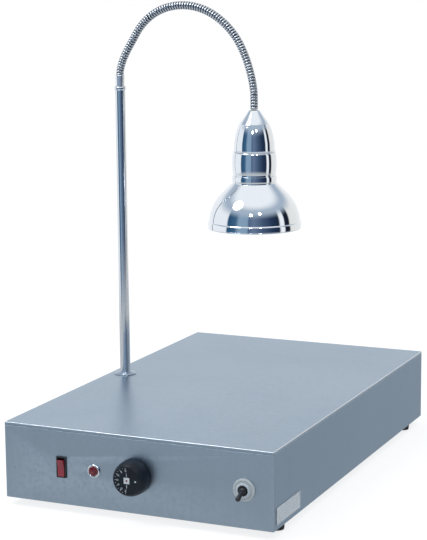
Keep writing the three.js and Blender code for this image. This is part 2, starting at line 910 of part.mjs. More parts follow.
let carrier = group(product, postX, postY, firstBallZ);
carrier.rotation.y = radians(neckLean);
neckTurns.forEach((degrees, i) => {
  const turn = radians(degrees);
  piece(carrier, `gooseneck_${i + 1}`, neckSegment(turn), chrome);
  const end = new Bend(neckBend, turn).getPoint(1);
  carrier = group(carrier, end.x, 0, end.z);
  carrier.rotation.y = turn;
});

// ---------------------------------------------------------------- lamp

// The lamp hangs straight down, so its local Z points at the table.
const leanOfLamp = neckTurns.reduce((sum, turn) => sum + turn, neckLean);
carrier.rotation.y += radians(180 - leanOfLamp);
const lamp = carrier;

const capTop = lampFerruleLength + gap;
const capBottom = capTop + capLength;
const shadeTop = capBottom + gap;
const neckStepAt = shadeTop + neckPartLength;
const bellTop = neckStepAt + 12;
const bellBottom = bellTop + bellLength;
const rimBottom = bellBottom + rimHeight;
const spigotEnd = lampFerruleLength + spigotLength;
const holderTop = spigotEnd - 6;
const holderFlangeTop = shadeTop + shadeWall + gap;
const holderBottom = holderFlangeTop + 8;
const bulbBaseEnd = shadeTop;
const bulbNeckTop = bulbBaseEnd + gap;
const bulbFace = rimBottom - bulbSetback;

function lampFerrule() {
  const stem = turned([
    [0, 0],
    [neckRadius, 0],
    [neckRadius + 0.8, 6],
    [lampFerruleRadius, lampFerruleLength - 2],
    [lampFerruleRadius, lampFerruleLength],
    [spigotRadius, lampFerruleLength],
    [spigotRadius, spigotEnd],
    [0, spigotEnd],
  ], 16);
  return cut(stem, ball(cupRadius, cupSides), disc(neckBore, -1, spigotEnd + 1, 10));
}

// A closed outline from a line of outer points and the same line moved in by a wall.
function walled(outline, wall) {
  return [...outline, ...insideOf(outline, wall).reverse()];
}

function lampCap() {
  const shoulder = capTop + capShoulderDrop;
  const bend = new THREE.CubicBezierCurve(
    new THREE.Vector2(capShoulderRadius, shoulder),
    new THREE.Vector2(capShoulderRadius + 3.5, shoulder + 5),
    new THREE.Vector2(neckPartRadius - 3.6, shoulder + 11),
    new THREE.Vector2(neckPartRadius - 3, shoulder + 18),
  ).getPoints(4).map(({ x, y }) => [x, y]);
  const outline = [
    [spigotRadius + gap, capTop],
    [lampFerruleRadius + 0.5, capTop],
    ...bend,
    [neckPartRadius - 1.2, capBottom],
  ];
  return turnedRing(walled(outline, shadeWall), 28);
}

// The shade: an inner flange that the lampholder clamps, a stepped neck, the bell and its rim.
function lampShade() {
  const bell = new THREE.CubicBezierCurve(
    new THREE.Vector2(bellTopRadius, bellTop),
    new THREE.Vector2(bellTopRadius + 15.9, bellTop + 20.5),
    new THREE.Vector2(bellRadius, bellBottom - 20),
    new THREE.Vector2(bellRadius, bellBottom),
  ).getPoints(6).map(({ x, y }) => [x, y]);
  const outline = [
    [neckPartRadius, shadeTop],
    [neckPartRadius, neckStepAt],
    [neckPartRadius + neckPartStep, neckStepAt + 1],
    [neckPartRadius + neckPartStep + 0.6, bellTop - 3.5],
    ...bell,
    [rimRadius, bellBottom + 1.5],
    [rimRadius, rimBottom],
  ];
  const shell = turnedRing(walled(outline, shadeWall), 28);
  const flange = ring(holderRadius + 1, neckPartRadius - 0.2, shadeTop, shadeTop + shadeWall, 28);
  return join(shell, flange);
}

function lampholder() {
  const thread = bulbBaseRadius + 0.9;
  return turnedRing([
    [spigotRadius + gap, holderTop],
    [holderRadius - 1.5, holderTop],
    [holderRadius, holderTop + 2],
    [holderRadius, holderFlangeTop],
    [holderFlangeRadius, holderFlangeTop],
    [holderFlangeRadius, holderFlangeTop + 4],
    [holderRadius, holderFlangeTop + 4],
    [holderRadius, holderBottom],
    [thread, holderBottom],
    [thread, spigotEnd + 5],
    [3, spigotEnd + 5],
    [3, spigotEnd + 1],
    [spigotRadius + gap, spigotEnd + 1],
  ]);
}

function bulbBase() {
  const tip = spigotEnd + 6;
  return turned([
    [0, tip],
    [5, tip],
    [bulbBaseRadius, tip + 5],
    [bulbBaseRadius, bulbBaseEnd],
    [bulbBaseRadius - 1, bulbBaseEnd],
    [bulbBaseRadius - 1, tip + 6],
    [4.5, tip + 1.2],
    [0, tip + 1.2],
  ]);
}

// A reflector bulb: straight neck, flare that follows the shade, slightly domed face.
function bulbGlass() {
  const flare = new THREE.CubicBezierCurve(
    new THREE.Vector2(bulbNeckRadius, holderBottom + 3),
    new THREE.Vector2(bulbNeckRadius + 6, bellTop - 4),
    new THREE.Vector2(bulbRadius - 1, bulbFace - 36),
    new THREE.Vector2(bulbRadius, bulbFace - 13),
  ).getPoints(6).map(({ x, y }) => [x, y]);
  const outline = [
    [bulbNeckRadius, bulbNeckTop],
    ...flare,
    [bulbRadius - 2, bulbFace - 6],
    [bulbRadius - 9, bulbFace - 2.5],
    [bulbRadius / 2, bulbFace - 0.6],
    [0, bulbFace],
  ];
  return turnedRing(walled(outline, bulbSheet), 24);
}

piece(lamp, "lamp_ferrule", lampFerrule(), chrome);
piece(lamp, "lamp_cap", lampCap(), chrome);
piece(lamp, "lamp_shade", lampShade(), chrome);
piece(lamp, "lampholder", lampholder(), ceramic);
piece(lamp, "bulb_base", bulbBase(), brass);
piece(lamp, "bulb_glass", bulbGlass(), frostedGlass);

export default product;
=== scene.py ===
import json
import math
import bmesh
import bpy
from mathutils import Matrix, Vector


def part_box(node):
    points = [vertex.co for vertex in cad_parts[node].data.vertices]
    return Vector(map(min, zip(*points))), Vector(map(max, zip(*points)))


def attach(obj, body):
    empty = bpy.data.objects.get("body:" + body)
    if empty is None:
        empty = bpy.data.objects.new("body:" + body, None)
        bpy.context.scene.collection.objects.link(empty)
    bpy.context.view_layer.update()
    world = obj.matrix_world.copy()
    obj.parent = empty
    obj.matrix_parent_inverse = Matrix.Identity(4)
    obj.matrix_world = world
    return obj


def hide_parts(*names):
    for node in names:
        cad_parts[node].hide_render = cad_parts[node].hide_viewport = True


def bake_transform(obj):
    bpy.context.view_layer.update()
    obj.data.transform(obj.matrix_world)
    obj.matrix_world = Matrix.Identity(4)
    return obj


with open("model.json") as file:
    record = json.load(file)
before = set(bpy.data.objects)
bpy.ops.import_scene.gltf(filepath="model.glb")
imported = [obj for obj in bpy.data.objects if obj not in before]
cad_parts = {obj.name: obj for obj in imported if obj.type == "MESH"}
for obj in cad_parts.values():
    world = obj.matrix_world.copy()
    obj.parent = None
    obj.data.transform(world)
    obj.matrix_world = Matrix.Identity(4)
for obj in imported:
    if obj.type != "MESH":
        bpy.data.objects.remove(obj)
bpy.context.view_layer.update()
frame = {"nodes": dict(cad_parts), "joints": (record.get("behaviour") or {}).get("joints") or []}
print("frame loaded:", len(frame["nodes"]), "nodes")

# The camera stands a little above the lamp, to the right of the controls.
view = {
    "place": (1.0127, -2.2977, 0.7398),
    "yaw": 24.318, "pitch": 9.949, "roll": 0.526,   # degrees
    "lens": 112.09,
}


def aimCamera():
    yaw, pitch, roll = (math.radians(view[key]) for key in ("yaw", "pitch", "roll"))
    ahead = Vector((-math.sin(yaw) * math.cos(pitch), math.cos(yaw) * math.cos(pitch), -math.sin(pitch)))
    level = Vector((math.cos(yaw), math.sin(yaw), 0))
    down = ahead.cross(level)
    right = level * math.cos(roll) + down * math.sin(roll)
    up = level * math.sin(roll) - down * math.cos(roll)
    bpy.ops.object.camera_add()
    camera = bpy.context.object
    turn = Matrix((right, up, -ahead)).transposed().to_4x4()
    camera.matrix_world = Matrix.Translation(view["place"]) @ turn
    camera.data.lens = view["lens"]
    camera.data.clip_end = 80
    bpy.context.scene.camera = camera


aimCamera()
print("camera set")

mm = 0.001
upright = (0, 0, 0)
outward = (math.pi / 2, 0, 0)     # what was modelled upwards points out of the front panel


# ---- modelling helpers

def pickNothing():
    if bpy.context.object and bpy.context.object.mode != "OBJECT":
        bpy.ops.object.mode_set(mode="OBJECT")
    bpy.ops.object.select_all(action="DESELECT")


def pickOnly(piece, *others):
    pickNothing()
    for each in (piece, *others):
        each.select_set(True)
    bpy.context.view_layer.objects.active = piece


def edit(piece, picked=True):
    pickOnly(piece)
    bpy.ops.object.mode_set(mode="EDIT")
    bpy.ops.mesh.select_all(action="SELECT" if picked else "DESELECT")


def leaveEdit():
    bpy.ops.object.mode_set(mode="OBJECT")


def place(piece, spot=(0, 0, 0), turn=upright):
    piece.location = spot
    piece.rotation_euler = turn
    pickOnly(piece)
    bpy.ops.object.transform_apply(location=True, rotation=True, scale=True)
    return piece


def finishWith(piece, modifierName):
    pickOnly(piece)
    bpy.ops.object.modifier_apply(modifier=modifierName)


def roundOff(piece, width, segments=3, angle=35):
    bevel = piece.modifiers.new("edges", "BEVEL")
    bevel.width, bevel.segments = width, segments
    bevel.limit_method, bevel.angle_limit = "ANGLE", math.radians(angle)
    finishWith(piece, "edges")
    return piece


def smooth(piece, angle=35, weighted=True):
    pickOnly(piece)
    bpy.ops.object.shade_smooth_by_angle(angle=math.radians(angle))
    if weighted:
        normals = piece.modifiers.new("flats", "WEIGHTED_NORMAL")
        normals.keep_sharp = True
        finishWith(piece, "flats")
    return piece


def joinInto(piece, *others):
    pickOnly(piece, *others)
    bpy.ops.object.join()
    return piece


def copyOf(piece, name, offset):
    pickOnly(piece)
    bpy.ops.object.duplicate()
    twin = bpy.context.object
    twin.name = name
    return place(twin, offset)


# A turned shape about Z. The outline lists (radius, height); a wall makes a shell of it.
def turned(name, outline, steps=64, wall=0, closed=False):
    pickNothing()
    bpy.ops.mesh.primitive_plane_add(size=mm)
    piece = bpy.context.object
    piece.name = name
    bpy.ops.object.mode_set(mode="EDIT")
    bpy.ops.mesh.select_all(action="SELECT")
    bpy.ops.mesh.merge(type="CENTER")
    line = list(outline) + ([outline[0]] if closed else [])
    bpy.ops.transform.translate(value=(line[0][0] * mm, 0, line[0][1] * mm))
    for (r0, z0), (r1, z1) in zip(line, line[1:]):
        step = ((r1 - r0) * mm, 0, (z1 - z0) * mm)
        bpy.ops.mesh.extrude_region_move(TRANSFORM_OT_translate={"value": step})
    bpy.ops.mesh.select_all(action="SELECT")
    bpy.ops.mesh.spin(steps=steps, angle=2 * math.pi, center=(0, 0, 0), axis=(0, 0, 1))
    bpy.ops.mesh.select_all(action="SELECT")
    bpy.ops.mesh.remove_doubles(threshold=1e-6)
    bpy.ops.mesh.normals_make_consistent(inside=False)
    leaveEdit()
    if wall:
        shell = piece.modifiers.new("wall", "SOLIDIFY")
        shell.thickness, shell.offset = wall * mm, -1
        shell.use_even_offset = True
        finishWith(piece, "wall")
    return piece


# Points along a smooth bend between two ends, each (radius, height).
def bend(a, b, c, d, steps=8):
    points = []
    for i in range(steps + 1):
        t = i / steps
        w = ((1 - t) ** 3, 3 * t * (1 - t) ** 2, 3 * t * t * (1 - t), t ** 3)
        points.append(tuple(sum(k * p[i] for k, p in zip(w, (a, b, c, d))) for i in (0, 1)))
    return points


# A block between two corners.
def block(name, low, high):
    pickNothing()
    middle = [(a + b) / 2 for a, b in zip(low, high)]
    bpy.ops.mesh.primitive_cube_add(size=1, location=middle, scale=[b - a for a, b in zip(low, high)])
    piece = bpy.context.object
    piece.name = name
    return place(piece, piece.location.copy())


# A copy of a CAD solid with its corners joined up and its flat faces whole again.
def sheetFrom(nodeName, name):
    source = frame["nodes"][nodeName]
    piece = bpy.data.objects.new(name, source.data.copy())
    bpy.context.scene.collection.objects.link(piece)
    edit(piece)
    bpy.ops.mesh.remove_doubles(threshold=1e-5)
    bpy.ops.mesh.dissolve_limited(angle_limit=math.radians(1))
    leaveEdit()
    return piece


# Rounds a folded sheet: the named sides of its box meet in bends, all other edges are only eased.
def foldEdges(piece, sides, bendRadius, ease=0.25, segments=5):
    corners = [v.co.copy() for v in piece.data.vertices]
    low = [min(c[k] for c in corners) for k in range(3)]
    high = [max(c[k] for c in corners) for k in range(3)]
    planes = [("xyz".index(s[0]), (high if s[1] == "+" else low)["xyz".index(s[0])]) for s in sides]
    shape = bmesh.new()
    shape.from_mesh(piece.data)
    weight = shape.edges.layers.float.new("bevel_weight_edge")
    for edge in shape.edges:
        if len(edge.link_faces) != 2 or edge.calc_face_angle(0) < math.radians(25):
            continue
        a, b = (v.co for v in edge.verts)
        shared = sum(abs(a[k] - at) < 2e-5 and abs(b[k] - at) < 2e-5 for k, at in planes)
        edge[weight] = 1.0 if shared >= 2 else ease / bendRadius
    shape.to_mesh(piece.data)
    shape.free()
    fold = piece.modifiers.new("folds", "BEVEL")
    fold.width, fold.segments = bendRadius * mm, segments
    fold.limit_method = "WEIGHT"
    finishWith(piece, "folds")
    return smooth(piece, 40)


def boxMiddle(nodeName):
    low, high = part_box(nodeName)
    return (low + high) / 2


# Says what a finished piece is made of, moves with and stands for.
def handOver(piece, finish, slotName, bodyName, *nodes):
    piece.name = piece.name.replace(" ", "-")
    piece.data.materials.clear()
    piece.data.materials.append(finish)
    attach(piece, bodyName)
    if nodes:
        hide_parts(*nodes)
    return piece


# ---- finishes

def newGroup(name, inputs, outputs):
    tree = bpy.data.node_groups.new(name, "ShaderNodeTree")
    for label, kind, value in inputs:
        socket = tree.interface.new_socket(label, in_out="INPUT", socket_type=kind)
        if value is not None:
            socket.default_value = value
    for label in outputs:
        tree.interface.new_socket(label, in_out="OUTPUT", socket_type="NodeSocketFloat")
    return tree, tree.nodes.new("NodeGroupInput"), tree.nodes.new("NodeGroupOutput")


def add(tree, kind, values=None, **settings):
    node = tree.nodes.new(kind)
    for key, value in settings.items():
        setattr(node, key, value)
    for key, value in (values or {}).items():
        node.inputs[key].default_value = value
    return node


def remap(tree, source, fromLow, fromHigh, toLow, toHigh):
    node = add(tree, "ShaderNodeMapRange", {
        "From Min": fromLow, "From Max": fromHigh, "To Min": toLow, "To Max": toHigh})
    tree.links.new(source, node.inputs["Value"])
    return node.outputs["Result"]


# Brushed grain: fine streaks over broader ones. The vector comes in already stretched along the grain.
def brushedGrain():
    tree, given, out = newGroup("brushed grain", [
        ("Vector", "NodeSocketVector", None), ("Broad", "NodeSocketFloat", 0.4)], ["Tone", "Height"])
    fine = add(tree, "ShaderNodeTexNoise", {"Scale": 1, "Detail": 4, "Roughness": 0.65})
    wide = add(tree, "ShaderNodeTexNoise", {"Scale": 0.07, "Detail": 2, "Roughness": 0.5})
    for noise in (fine, wide):
        tree.links.new(given.outputs["Vector"], noise.inputs["Vector"])
    blend = add(tree, "ShaderNodeMix", data_type="FLOAT")
    tree.links.new(given.outputs["Broad"], blend.inputs["Factor"])
    tree.links.new(remap(tree, fine.outputs["Fac"], 0.3, 0.7, 0, 1), blend.inputs["A"])
    tree.links.new(remap(tree, wide.outputs["Fac"], 0.3, 0.7, 0, 1), blend.inputs["B"])
    tree.links.new(blend.outputs["Result"], out.inputs["Tone"])
    tree.links.new(fine.outputs["Fac"], out.inputs["Height"])
    return tree


# Soft uneven patches, as from wiping and handling.
def wipedPatches():
    tree, given, out = newGroup("wiped patches", [
        ("Vector", "NodeSocketVector", None), ("Size", "NodeSocketFloat", 12.0)], ["Mask"])
    noise = add(tree, "ShaderNodeTexNoise", {"Detail": 3, "Roughness": 0.6, "Distortion": 0.4})
    tree.links.new(given.outputs["Vector"], noise.inputs["Vector"])
    tree.links.new(given.outputs["Size"], noise.inputs["Scale"])
    tree.links.new(remap(tree, noise.outputs["Fac"], 0.4, 0.68, 0, 1), out.inputs["Mask"])
    return tree


# Edges made lighter, broken up so that they aren't even: rubbed wear, and a painted highlight where edges catch the
# light.
def rubbedAndGlintingEdges():
    tree, given, out = newGroup("rubbed and glinting edges", [
        ("Vector", "NodeSocketVector", None), ("Amount", "NodeSocketFloat", 0.5)], ["Mask"])
    shape = add(tree, "ShaderNodeNewGeometry")
    noise = add(tree, "ShaderNodeTexNoise", {"Scale": 160, "Detail": 2})
    tree.links.new(given.outputs["Vector"], noise.inputs["Vector"])
    edge = remap(tree, shape.outputs["Pointiness"], 0.51, 0.58, 0, 1)
    broken = remap(tree, noise.outputs["Fac"], 0.3, 0.6, 0.3, 1)
    both = add(tree, "ShaderNodeMath", operation="MULTIPLY")
    tree.links.new(edge, both.inputs[0])
    tree.links.new(broken, both.inputs[1])
    scaled = add(tree, "ShaderNodeMath", operation="MULTIPLY")
    tree.links.new(both.outputs[0], scaled.inputs[0])
    tree.links.new(given.outputs["Amount"], scaled.inputs[1])
    tree.links.new(scaled.outputs[0], out.inputs["Mask"])
    return tree


# Specks of dust.
def fineDust():
    tree, given, out = newGroup("fine dust", [
        ("Vector", "NodeSocketVector", None), ("Amount", "NodeSocketFloat", 0.1)], ["Mask"])
    speck = add(tree, "ShaderNodeTexNoise", {"Scale": 900, "Detail": 1})
    drift = add(tree, "ShaderNodeTexNoise", {"Scale": 14, "Detail": 2})
    for noise in (speck, drift):
        tree.links.new(given.outputs["Vector"], noise.inputs["Vector"])
    both = add(tree, "ShaderNodeMath", operation="MULTIPLY")
    tree.links.new(remap(tree, speck.outputs["Fac"], 0.56, 0.72, 0, 1), both.inputs[0])
    tree.links.new(remap(tree, drift.outputs["Fac"], 0.4, 0.7, 0, 1), both.inputs[1])
    scaled = add(tree, "ShaderNodeMath", operation="MULTIPLY")
    tree.links.new(both.outputs[0], scaled.inputs[0])
    tree.links.new(given.outputs["Amount"], scaled.inputs[1])
    tree.links.new(scaled.outputs[0], out.inputs["Mask"])
    return tree


effects = {
    "grain": brushedGrain(), "patches": wipedPatches(), "rubbedAndGlint": rubbedAndGlintingEdges(), "dust": fineDust(),
}


def startMaterial(name):
    material = bpy.data.materials.new(name)
    material.use_nodes = True
    tree = material.node_tree
    return material, tree, tree.nodes["Principled BSDF"], add(tree, "ShaderNodeTexCoord").outputs["Object"]


def useEffect(tree, effect, vector, **values):
    node = add(tree, "ShaderNodeGroup", node_tree=effects[effect])
    tree.links.new(vector, node.inputs["Vector"])
    for key, value in values.items():
        node.inputs[key].default_value = value
    return node


def blended(tree, factor, first, second):
    node = add(tree, "ShaderNodeMix", data_type="RGBA")
    tree.links.new(factor, node.inputs[0])
    for socket, value in ((node.inputs[6], first), (node.inputs[7], second)):
        if isinstance(value, tuple):
            socket.default_value = (*value, 1)
        else:
            tree.links.new(value, socket)
    return node.outputs[2]


# Bare metal: grain (streaks per metre along X, Y, Z), patches of uneven polish, rubbed edges with painted highlight,
# dust.
def metal(name, colour, deep, rough, grain=(300, 300, 300), broad=0.4, bump=0.03, patchSize=12.0, spread=0.06,
          rubAndGlint=0.4, dust=0.08, anisotropic=0.0):
    material, tree, shader, spot = startMaterial(name)
    stretch = add(tree, "ShaderNodeMapping", {"Scale": grain})
    tree.links.new(spot, stretch.inputs["Vector"])
    streaks = useEffect(tree, "grain", stretch.outputs["Vector"], Broad=broad)
    wiped = useEffect(tree, "patches", spot, Size=patchSize)
    rubbedAndGlint = useEffect(tree, "rubbedAndGlint", spot, Amount=rubAndGlint)
    dusty = useEffect(tree, "dust", spot, Amount=dust)
    tone = blended(tree, streaks.outputs["Tone"], deep, colour)
    light = tuple(min(1, c * 1.25 + 0.04) for c in colour)
    edged = blended(tree, rubbedAndGlint.outputs["Mask"], tone, light)
    dulled = blended(tree, dusty.outputs["Mask"], edged, (0.62, 0.61, 0.58))
    tree.links.new(dulled, shader.inputs["Base Color"])
    shader.inputs["Metallic"].default_value = 1
    shader.inputs["Anisotropic"].default_value = anisotropic
    level = add(tree, "ShaderNodeMath", operation="ADD")
    tree.links.new(remap(tree, wiped.outputs["Mask"], 0, 1, rough, rough + spread), level.inputs[0])
    tree.links.new(remap(tree, streaks.outputs["Tone"], 0, 1, -spread / 2, spread / 2), level.inputs[1])
    tree.links.new(level.outputs[0], shader.inputs["Roughness"])
    relief = add(tree, "ShaderNodeBump", {"Strength": bump, "Distance": 0.0004})
    tree.links.new(streaks.outputs["Height"], relief.inputs["Height"])
    tree.links.new(relief.outputs["Normal"], shader.inputs["Normal"])
    return material


# Moulded or cast stuff: mottled colour, a fine skin texture, rubbed edges and dust.
def moulded(name, colour, deep, rough, mottle=40.0, skin=900.0, bump=0.1, coat=0.0, rubAndGlint=0.3, dust=0.15,
            rubColour=None, specular=0.5):
    material, tree, shader, spot = startMaterial(name)
    mottled = useEffect(tree, "patches", spot, Size=mottle)
    rubbedAndGlint = useEffect(tree, "rubbedAndGlint", spot, Amount=rubAndGlint)
    dusty = useEffect(tree, "dust", spot, Amount=dust)
    tone = blended(tree, mottled.outputs["Mask"], colour, deep)
    edged = blended(tree, rubbedAndGlint.outputs["Mask"], tone, rubColour or tuple(min(1, c * 1.6 + 0.03) for c in colour))
    dulled = blended(tree, dusty.outputs["Mask"], edged, (0.55, 0.54, 0.5))
    tree.links.new(dulled, shader.inputs["Base Color"])
    tree.links.new(remap(tree, mottled.outputs["Mask"], 0, 1, rough, rough + 0.08), shader.inputs["Roughness"])
    shader.inputs["Coat Weight"].default_value = coat
    shader.inputs["Specular IOR Level"].default_value = specular
    shader.inputs["Coat Roughness"].default_value = 0.08
    texture = add(tree, "ShaderNodeTexNoise", {"Scale": skin, "Detail": 3})
    tree.links.new(spot, texture.inputs["Vector"])
    relief = add(tree, "ShaderNodeBump", {"Strength": bump, "Distance": 0.0003})
    tree.links.new(texture.outputs["Fac"], relief.inputs["Height"])
    tree.links.new(relief.outputs["Normal"], shader.inputs["Normal"])
    return material


steelColour = (0.39, 0.475, 0.56)
steelDeep = (0.355, 0.44, 0.525)
finishes = {
    # The lid's edges are lightened strongly: a painted highlight along its folds.
    "lidSteel": metal("satin steel, lid", (0.37, 0.46, 0.545), (0.34, 0.425, 0.51), 0.34, (40, 500, 500), 0.5, 0.004,
                      4.0, 0.03, 0.9),
    "wallSteel": metal("satin steel, front and back", steelColour, steelDeep, 0.34, (500, 500, 14), 0.5, 0.004,
                       4.0, 0.03, 0.6),
    # The side sheets are the front's steel painted darker: painted shade.
    "sideSteelShaded": metal("satin steel, sides, painted in shade", (0.275, 0.37, 0.47), (0.25, 0.34, 0.44), 0.34, (500, 500, 14), 0.5, 0.004,
                       4.0, 0.03, 0.6),
    "flangeSteel": metal("satin chrome flange", (0.46, 0.53, 0.6), (0.4, 0.47, 0.54), 0.3, (300, 300, 300), 0.4,
                         0.01),
    "plainSteel": metal("plain steel", (0.42, 0.43, 0.44), (0.34, 0.35, 0.36), 0.42, (200, 200, 200), 0.6, 0.05),
    "screwSteel": metal("screw steel", (0.5, 0.5, 0.5), (0.4, 0.4, 0.41), 0.3, (600, 600, 600), 0.3, 0.05),
    "chrome": metal("polished chrome", (0.86, 0.89, 0.92), (0.82, 0.86, 0.9), 0.035, (300, 300, 40), 0.5, 0.004,
                    20.0, 0.03, 0.2, 0.03),
    "postChrome": metal("chrome, post", (0.8, 0.83, 0.86), (0.74, 0.78, 0.82), 0.14, (300, 300, 40), 0.5, 0.004,
                        20.0, 0.03, 0.2, 0.03),
    "sleeveChrome": metal("chrome, sleeve", (0.95, 0.96, 0.97), (0.9, 0.91, 0.93), 0.3, (300, 300, 40), 0.5, 0.004),
    # Near-black steel for the rib roots: painted shade between the ribs.
    "hoseGroove": metal("painted shade between the ribs", (0.05, 0.06, 0.075), (0.03, 0.035, 0.045), 0.35, (500, 500, 500),
                        0.3),
    # A much lighter steel for the lid's folds: a painted highlight.
    "foldHighlightSteel": metal("painted highlight, lid fold", (0.86, 0.9, 0.95), (0.76, 0.81, 0.87), 0.3, (300, 300, 300), 0.4, 0.004),
    "hoseChrome": metal("chrome, gooseneck", (0.68, 0.71, 0.75), (0.56, 0.6, 0.65), 0.1, (500, 500, 500), 0.3, 0.01,
                        60.0, 0.05, 0.3, 0.05),
    "plateMetal": metal("plate aluminium", (0.7, 0.75, 0.8), (0.64, 0.7, 0.75), 0.5, (700, 60, 700), 0.3, 0.01),
    "plateInk": moulded("plate lines", (0.3, 0.34, 0.38), (0.38, 0.42, 0.46), 0.5, bump=0.02),
    "rubber": moulded("foot rubber", (0.018, 0.018, 0.019), (0.03, 0.029, 0.028), 0.7, bump=0.35),
    "blackPlastic": moulded("black plastic", (0.012, 0.013, 0.016), (0.02, 0.021, 0.025), 0.32, bump=0.08),
    "knobPlastic": moulded("knob plastic", (0.009, 0.013, 0.02), (0.014, 0.02, 0.03), 0.32, skin=500, bump=0.02,
                           rubAndGlint=0.03, dust=0.01, specular=0.22),
    "dialPrint": moulded("dial print", (0.62, 0.68, 0.72), (0.5, 0.56, 0.6), 0.5, bump=0.02, dust=0.05),
    "redPlastic": moulded("red switch plastic", (0.36, 0.022, 0.045), (0.27, 0.012, 0.03), 0.22, bump=0.03, coat=0.5,
                          rubColour=(0.6, 0.12, 0.14)),
    "redLens": moulded("red lens", (0.2, 0.008, 0.016), (0.13, 0.005, 0.012), 0.1, mottle=300.0, bump=0.05, coat=0.8,
                       rubColour=(0.5, 0.06, 0.08)),
    "palePlastic": moulded("pale plastic", (0.56, 0.6, 0.6), (0.48, 0.52, 0.53), 0.35, bump=0.05),
    "siliconeMat": moulded("silicone mat", (0.33, 0.1, 0.045), (0.25, 0.07, 0.03), 0.65, skin=1500, bump=0.4),
    "fibreBoard": moulded("fibre board", (0.66, 0.62, 0.52), (0.5, 0.46, 0.38), 0.9, mottle=25.0, skin=600, bump=0.6),
    "ceramic": moulded("ceramic", (0.76, 0.73, 0.66), (0.68, 0.64, 0.56), 0.3, bump=0.08, coat=0.3),
    "copper": metal("copper tube", (0.62, 0.28, 0.15), (0.45, 0.19, 0.1), 0.35, (300, 300, 300), 0.5, 0.04),
    "brass": metal("brass", (0.6, 0.44, 0.18), (0.5, 0.36, 0.14), 0.3, (400, 400, 400), 0.4, 0.03),
    "sheath": moulded("lead sheath", (0.42, 0.39, 0.33), (0.34, 0.31, 0.26), 0.6, mottle=90.0, skin=1400, bump=0.3),
    "bulbFace": moulded("frosted bulb glass", (0.7, 0.69, 0.66), (0.62, 0.61, 0.58), 0.28, skin=1600, bump=0.2,
                        coat=0.4, rubAndGlint=0.1),
    "bulbMirror": metal("bulb mirror coat", (0.78, 0.78, 0.76), (0.7, 0.7, 0.68), 0.16, (200, 200, 200), 0.3, 0.02),
}
print("finishes made:", len(finishes))

carriedOver = {
    "siliconeMat": ["heating_mat"],
    "fibreBoard": ["insulation_board"],
    "plainSteel": ["support_bar_front", "support_bar_rear", "post_nut"],
    "copper": ["sensor_bulb", "capillary_tube"],
    "ceramic": ["thermostat_body", "terminal_block", "lampholder"],
    "brass": ["thermostat_shaft", "bulb_base"],
    "blackPlastic": ["toggle_body", "gland_nut"],
    "sheath": ["control_harness", "heater_lead", "lamp_lead"],
}
for finishName, nodeNames in carriedOver.items():
    for nodeName in nodeNames:
        mesh = frame["nodes"][nodeName].data
        mesh.materials.clear()
        mesh.materials.append(finishes[finishName])
print("inner pieces finished")

# ---- cabinet

cabinet = {"bend": 1.6, "lidBend": 1.5, "highlightFold": 2}   # last entry: how far down from the lid's top its folds carry a painted highlight in a much lighter steel
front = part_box("front_panel")[0].y
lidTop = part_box("top_panel")[1].z


def makeCabinet():
    lid = sheetFrom("top_panel", "lid")
    foldEdges(lid, ["z+", "x-", "x+", "y-", "y+"], cabinet["lidBend"])
    handOver(lid, finishes["lidSteel"], "brushed_steel", "cabinet", "top_panel")
    # The lid's upper folds get the much lighter steel: a painted highlight line along its edges.
    lid.data.materials.append(finishes["foldHighlightSteel"])
    for polygon in lid.data.polygons:
        if polygon.center.z > lidTop - cabinet["highlightFold"] * mm and 0.1 < polygon.normal.z < 0.98:
            polygon.material_index = 1
    walls = {
        "front_panel": ("front sheet", ["y-", "x-", "x+", "z-", "z+"], "wallSteel"),
        "rear_panel": ("rear sheet", ["y+", "z-", "z+"], "wallSteel"),
        "left_panel": ("left sheet", ["x-", "y+", "z-", "z+"], "sideSteelShaded"),
        "right_panel": ("right sheet", ["x+", "y+", "z-", "z+"], "sideSteelShaded"),
    }
    for node, (name, sides, finish) in walls.items():
        wall = foldEdges(sheetFrom(node, name), sides, cabinet["bend"])
        handOver(wall, finishes[finish], "brushed_steel", "cabinet", node)
    cover = foldEdges(sheetFrom("bottom_cover", "underside cover"), [], 0.5)
    handOver(cover, finishes["plainSteel"], "plain_steel", "cabinet", "bottom_cover")


makeCabinet()
print("cabinet made")

# ---- rating plate, left blank: a border and ruled lines only

plate = {"thick": 0.08, "line": 0.35, "edge": 1.6, "rows": 5, "column": 0.38}


def makePlate():
    low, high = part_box("rating_plate")
    board = foldEdges(sheetFrom("rating_plate", "rating plate"), [], 0.3)
    handOver(board, finishes["plateMetal"], "plate_aluminium", "cabinet", "rating_plate")
    half, edge = plate["line"] * mm / 2, plate["edge"] * mm
    near, far = low.y + edge, high.y - edge
    foot, head = low.z + edge, high.z - edge
    column = near + (far - near) * plate["column"]
    rows = [foot + (head - foot) * k / plate["rows"] for k in range(plate["rows"] + 1)]
    strips = [((near, z - half), (far, z + half)) for z in rows]
    strips += [((y - half, foot), (y + half, head)) for y in (near, column, far)]
    x0, x1 = high.x, high.x + plate["thick"] * mm
    ruled = [block("plate lines", (x0, y0, z0), (x1, y1, z1)) for (y0, z0), (y1, z1) in strips]
    lines = joinInto(ruled[0], *ruled[1:])
    handOver(lines, finishes["plateInk"], "plate_aluminium", "cabinet")


makePlate()
print("plate made")

# ---- feet and screws

foot = {"radius": 11, "height": 11.7, "recess": 5.0, "bore": 2.3, "steps": 40}
screw = {"head": 4.0, "height": 2.4, "cross": 4.4, "slot": 0.9, "slotDeep": 1.1}
corners = ("front_left", "front_right", "rear_left", "rear_right")


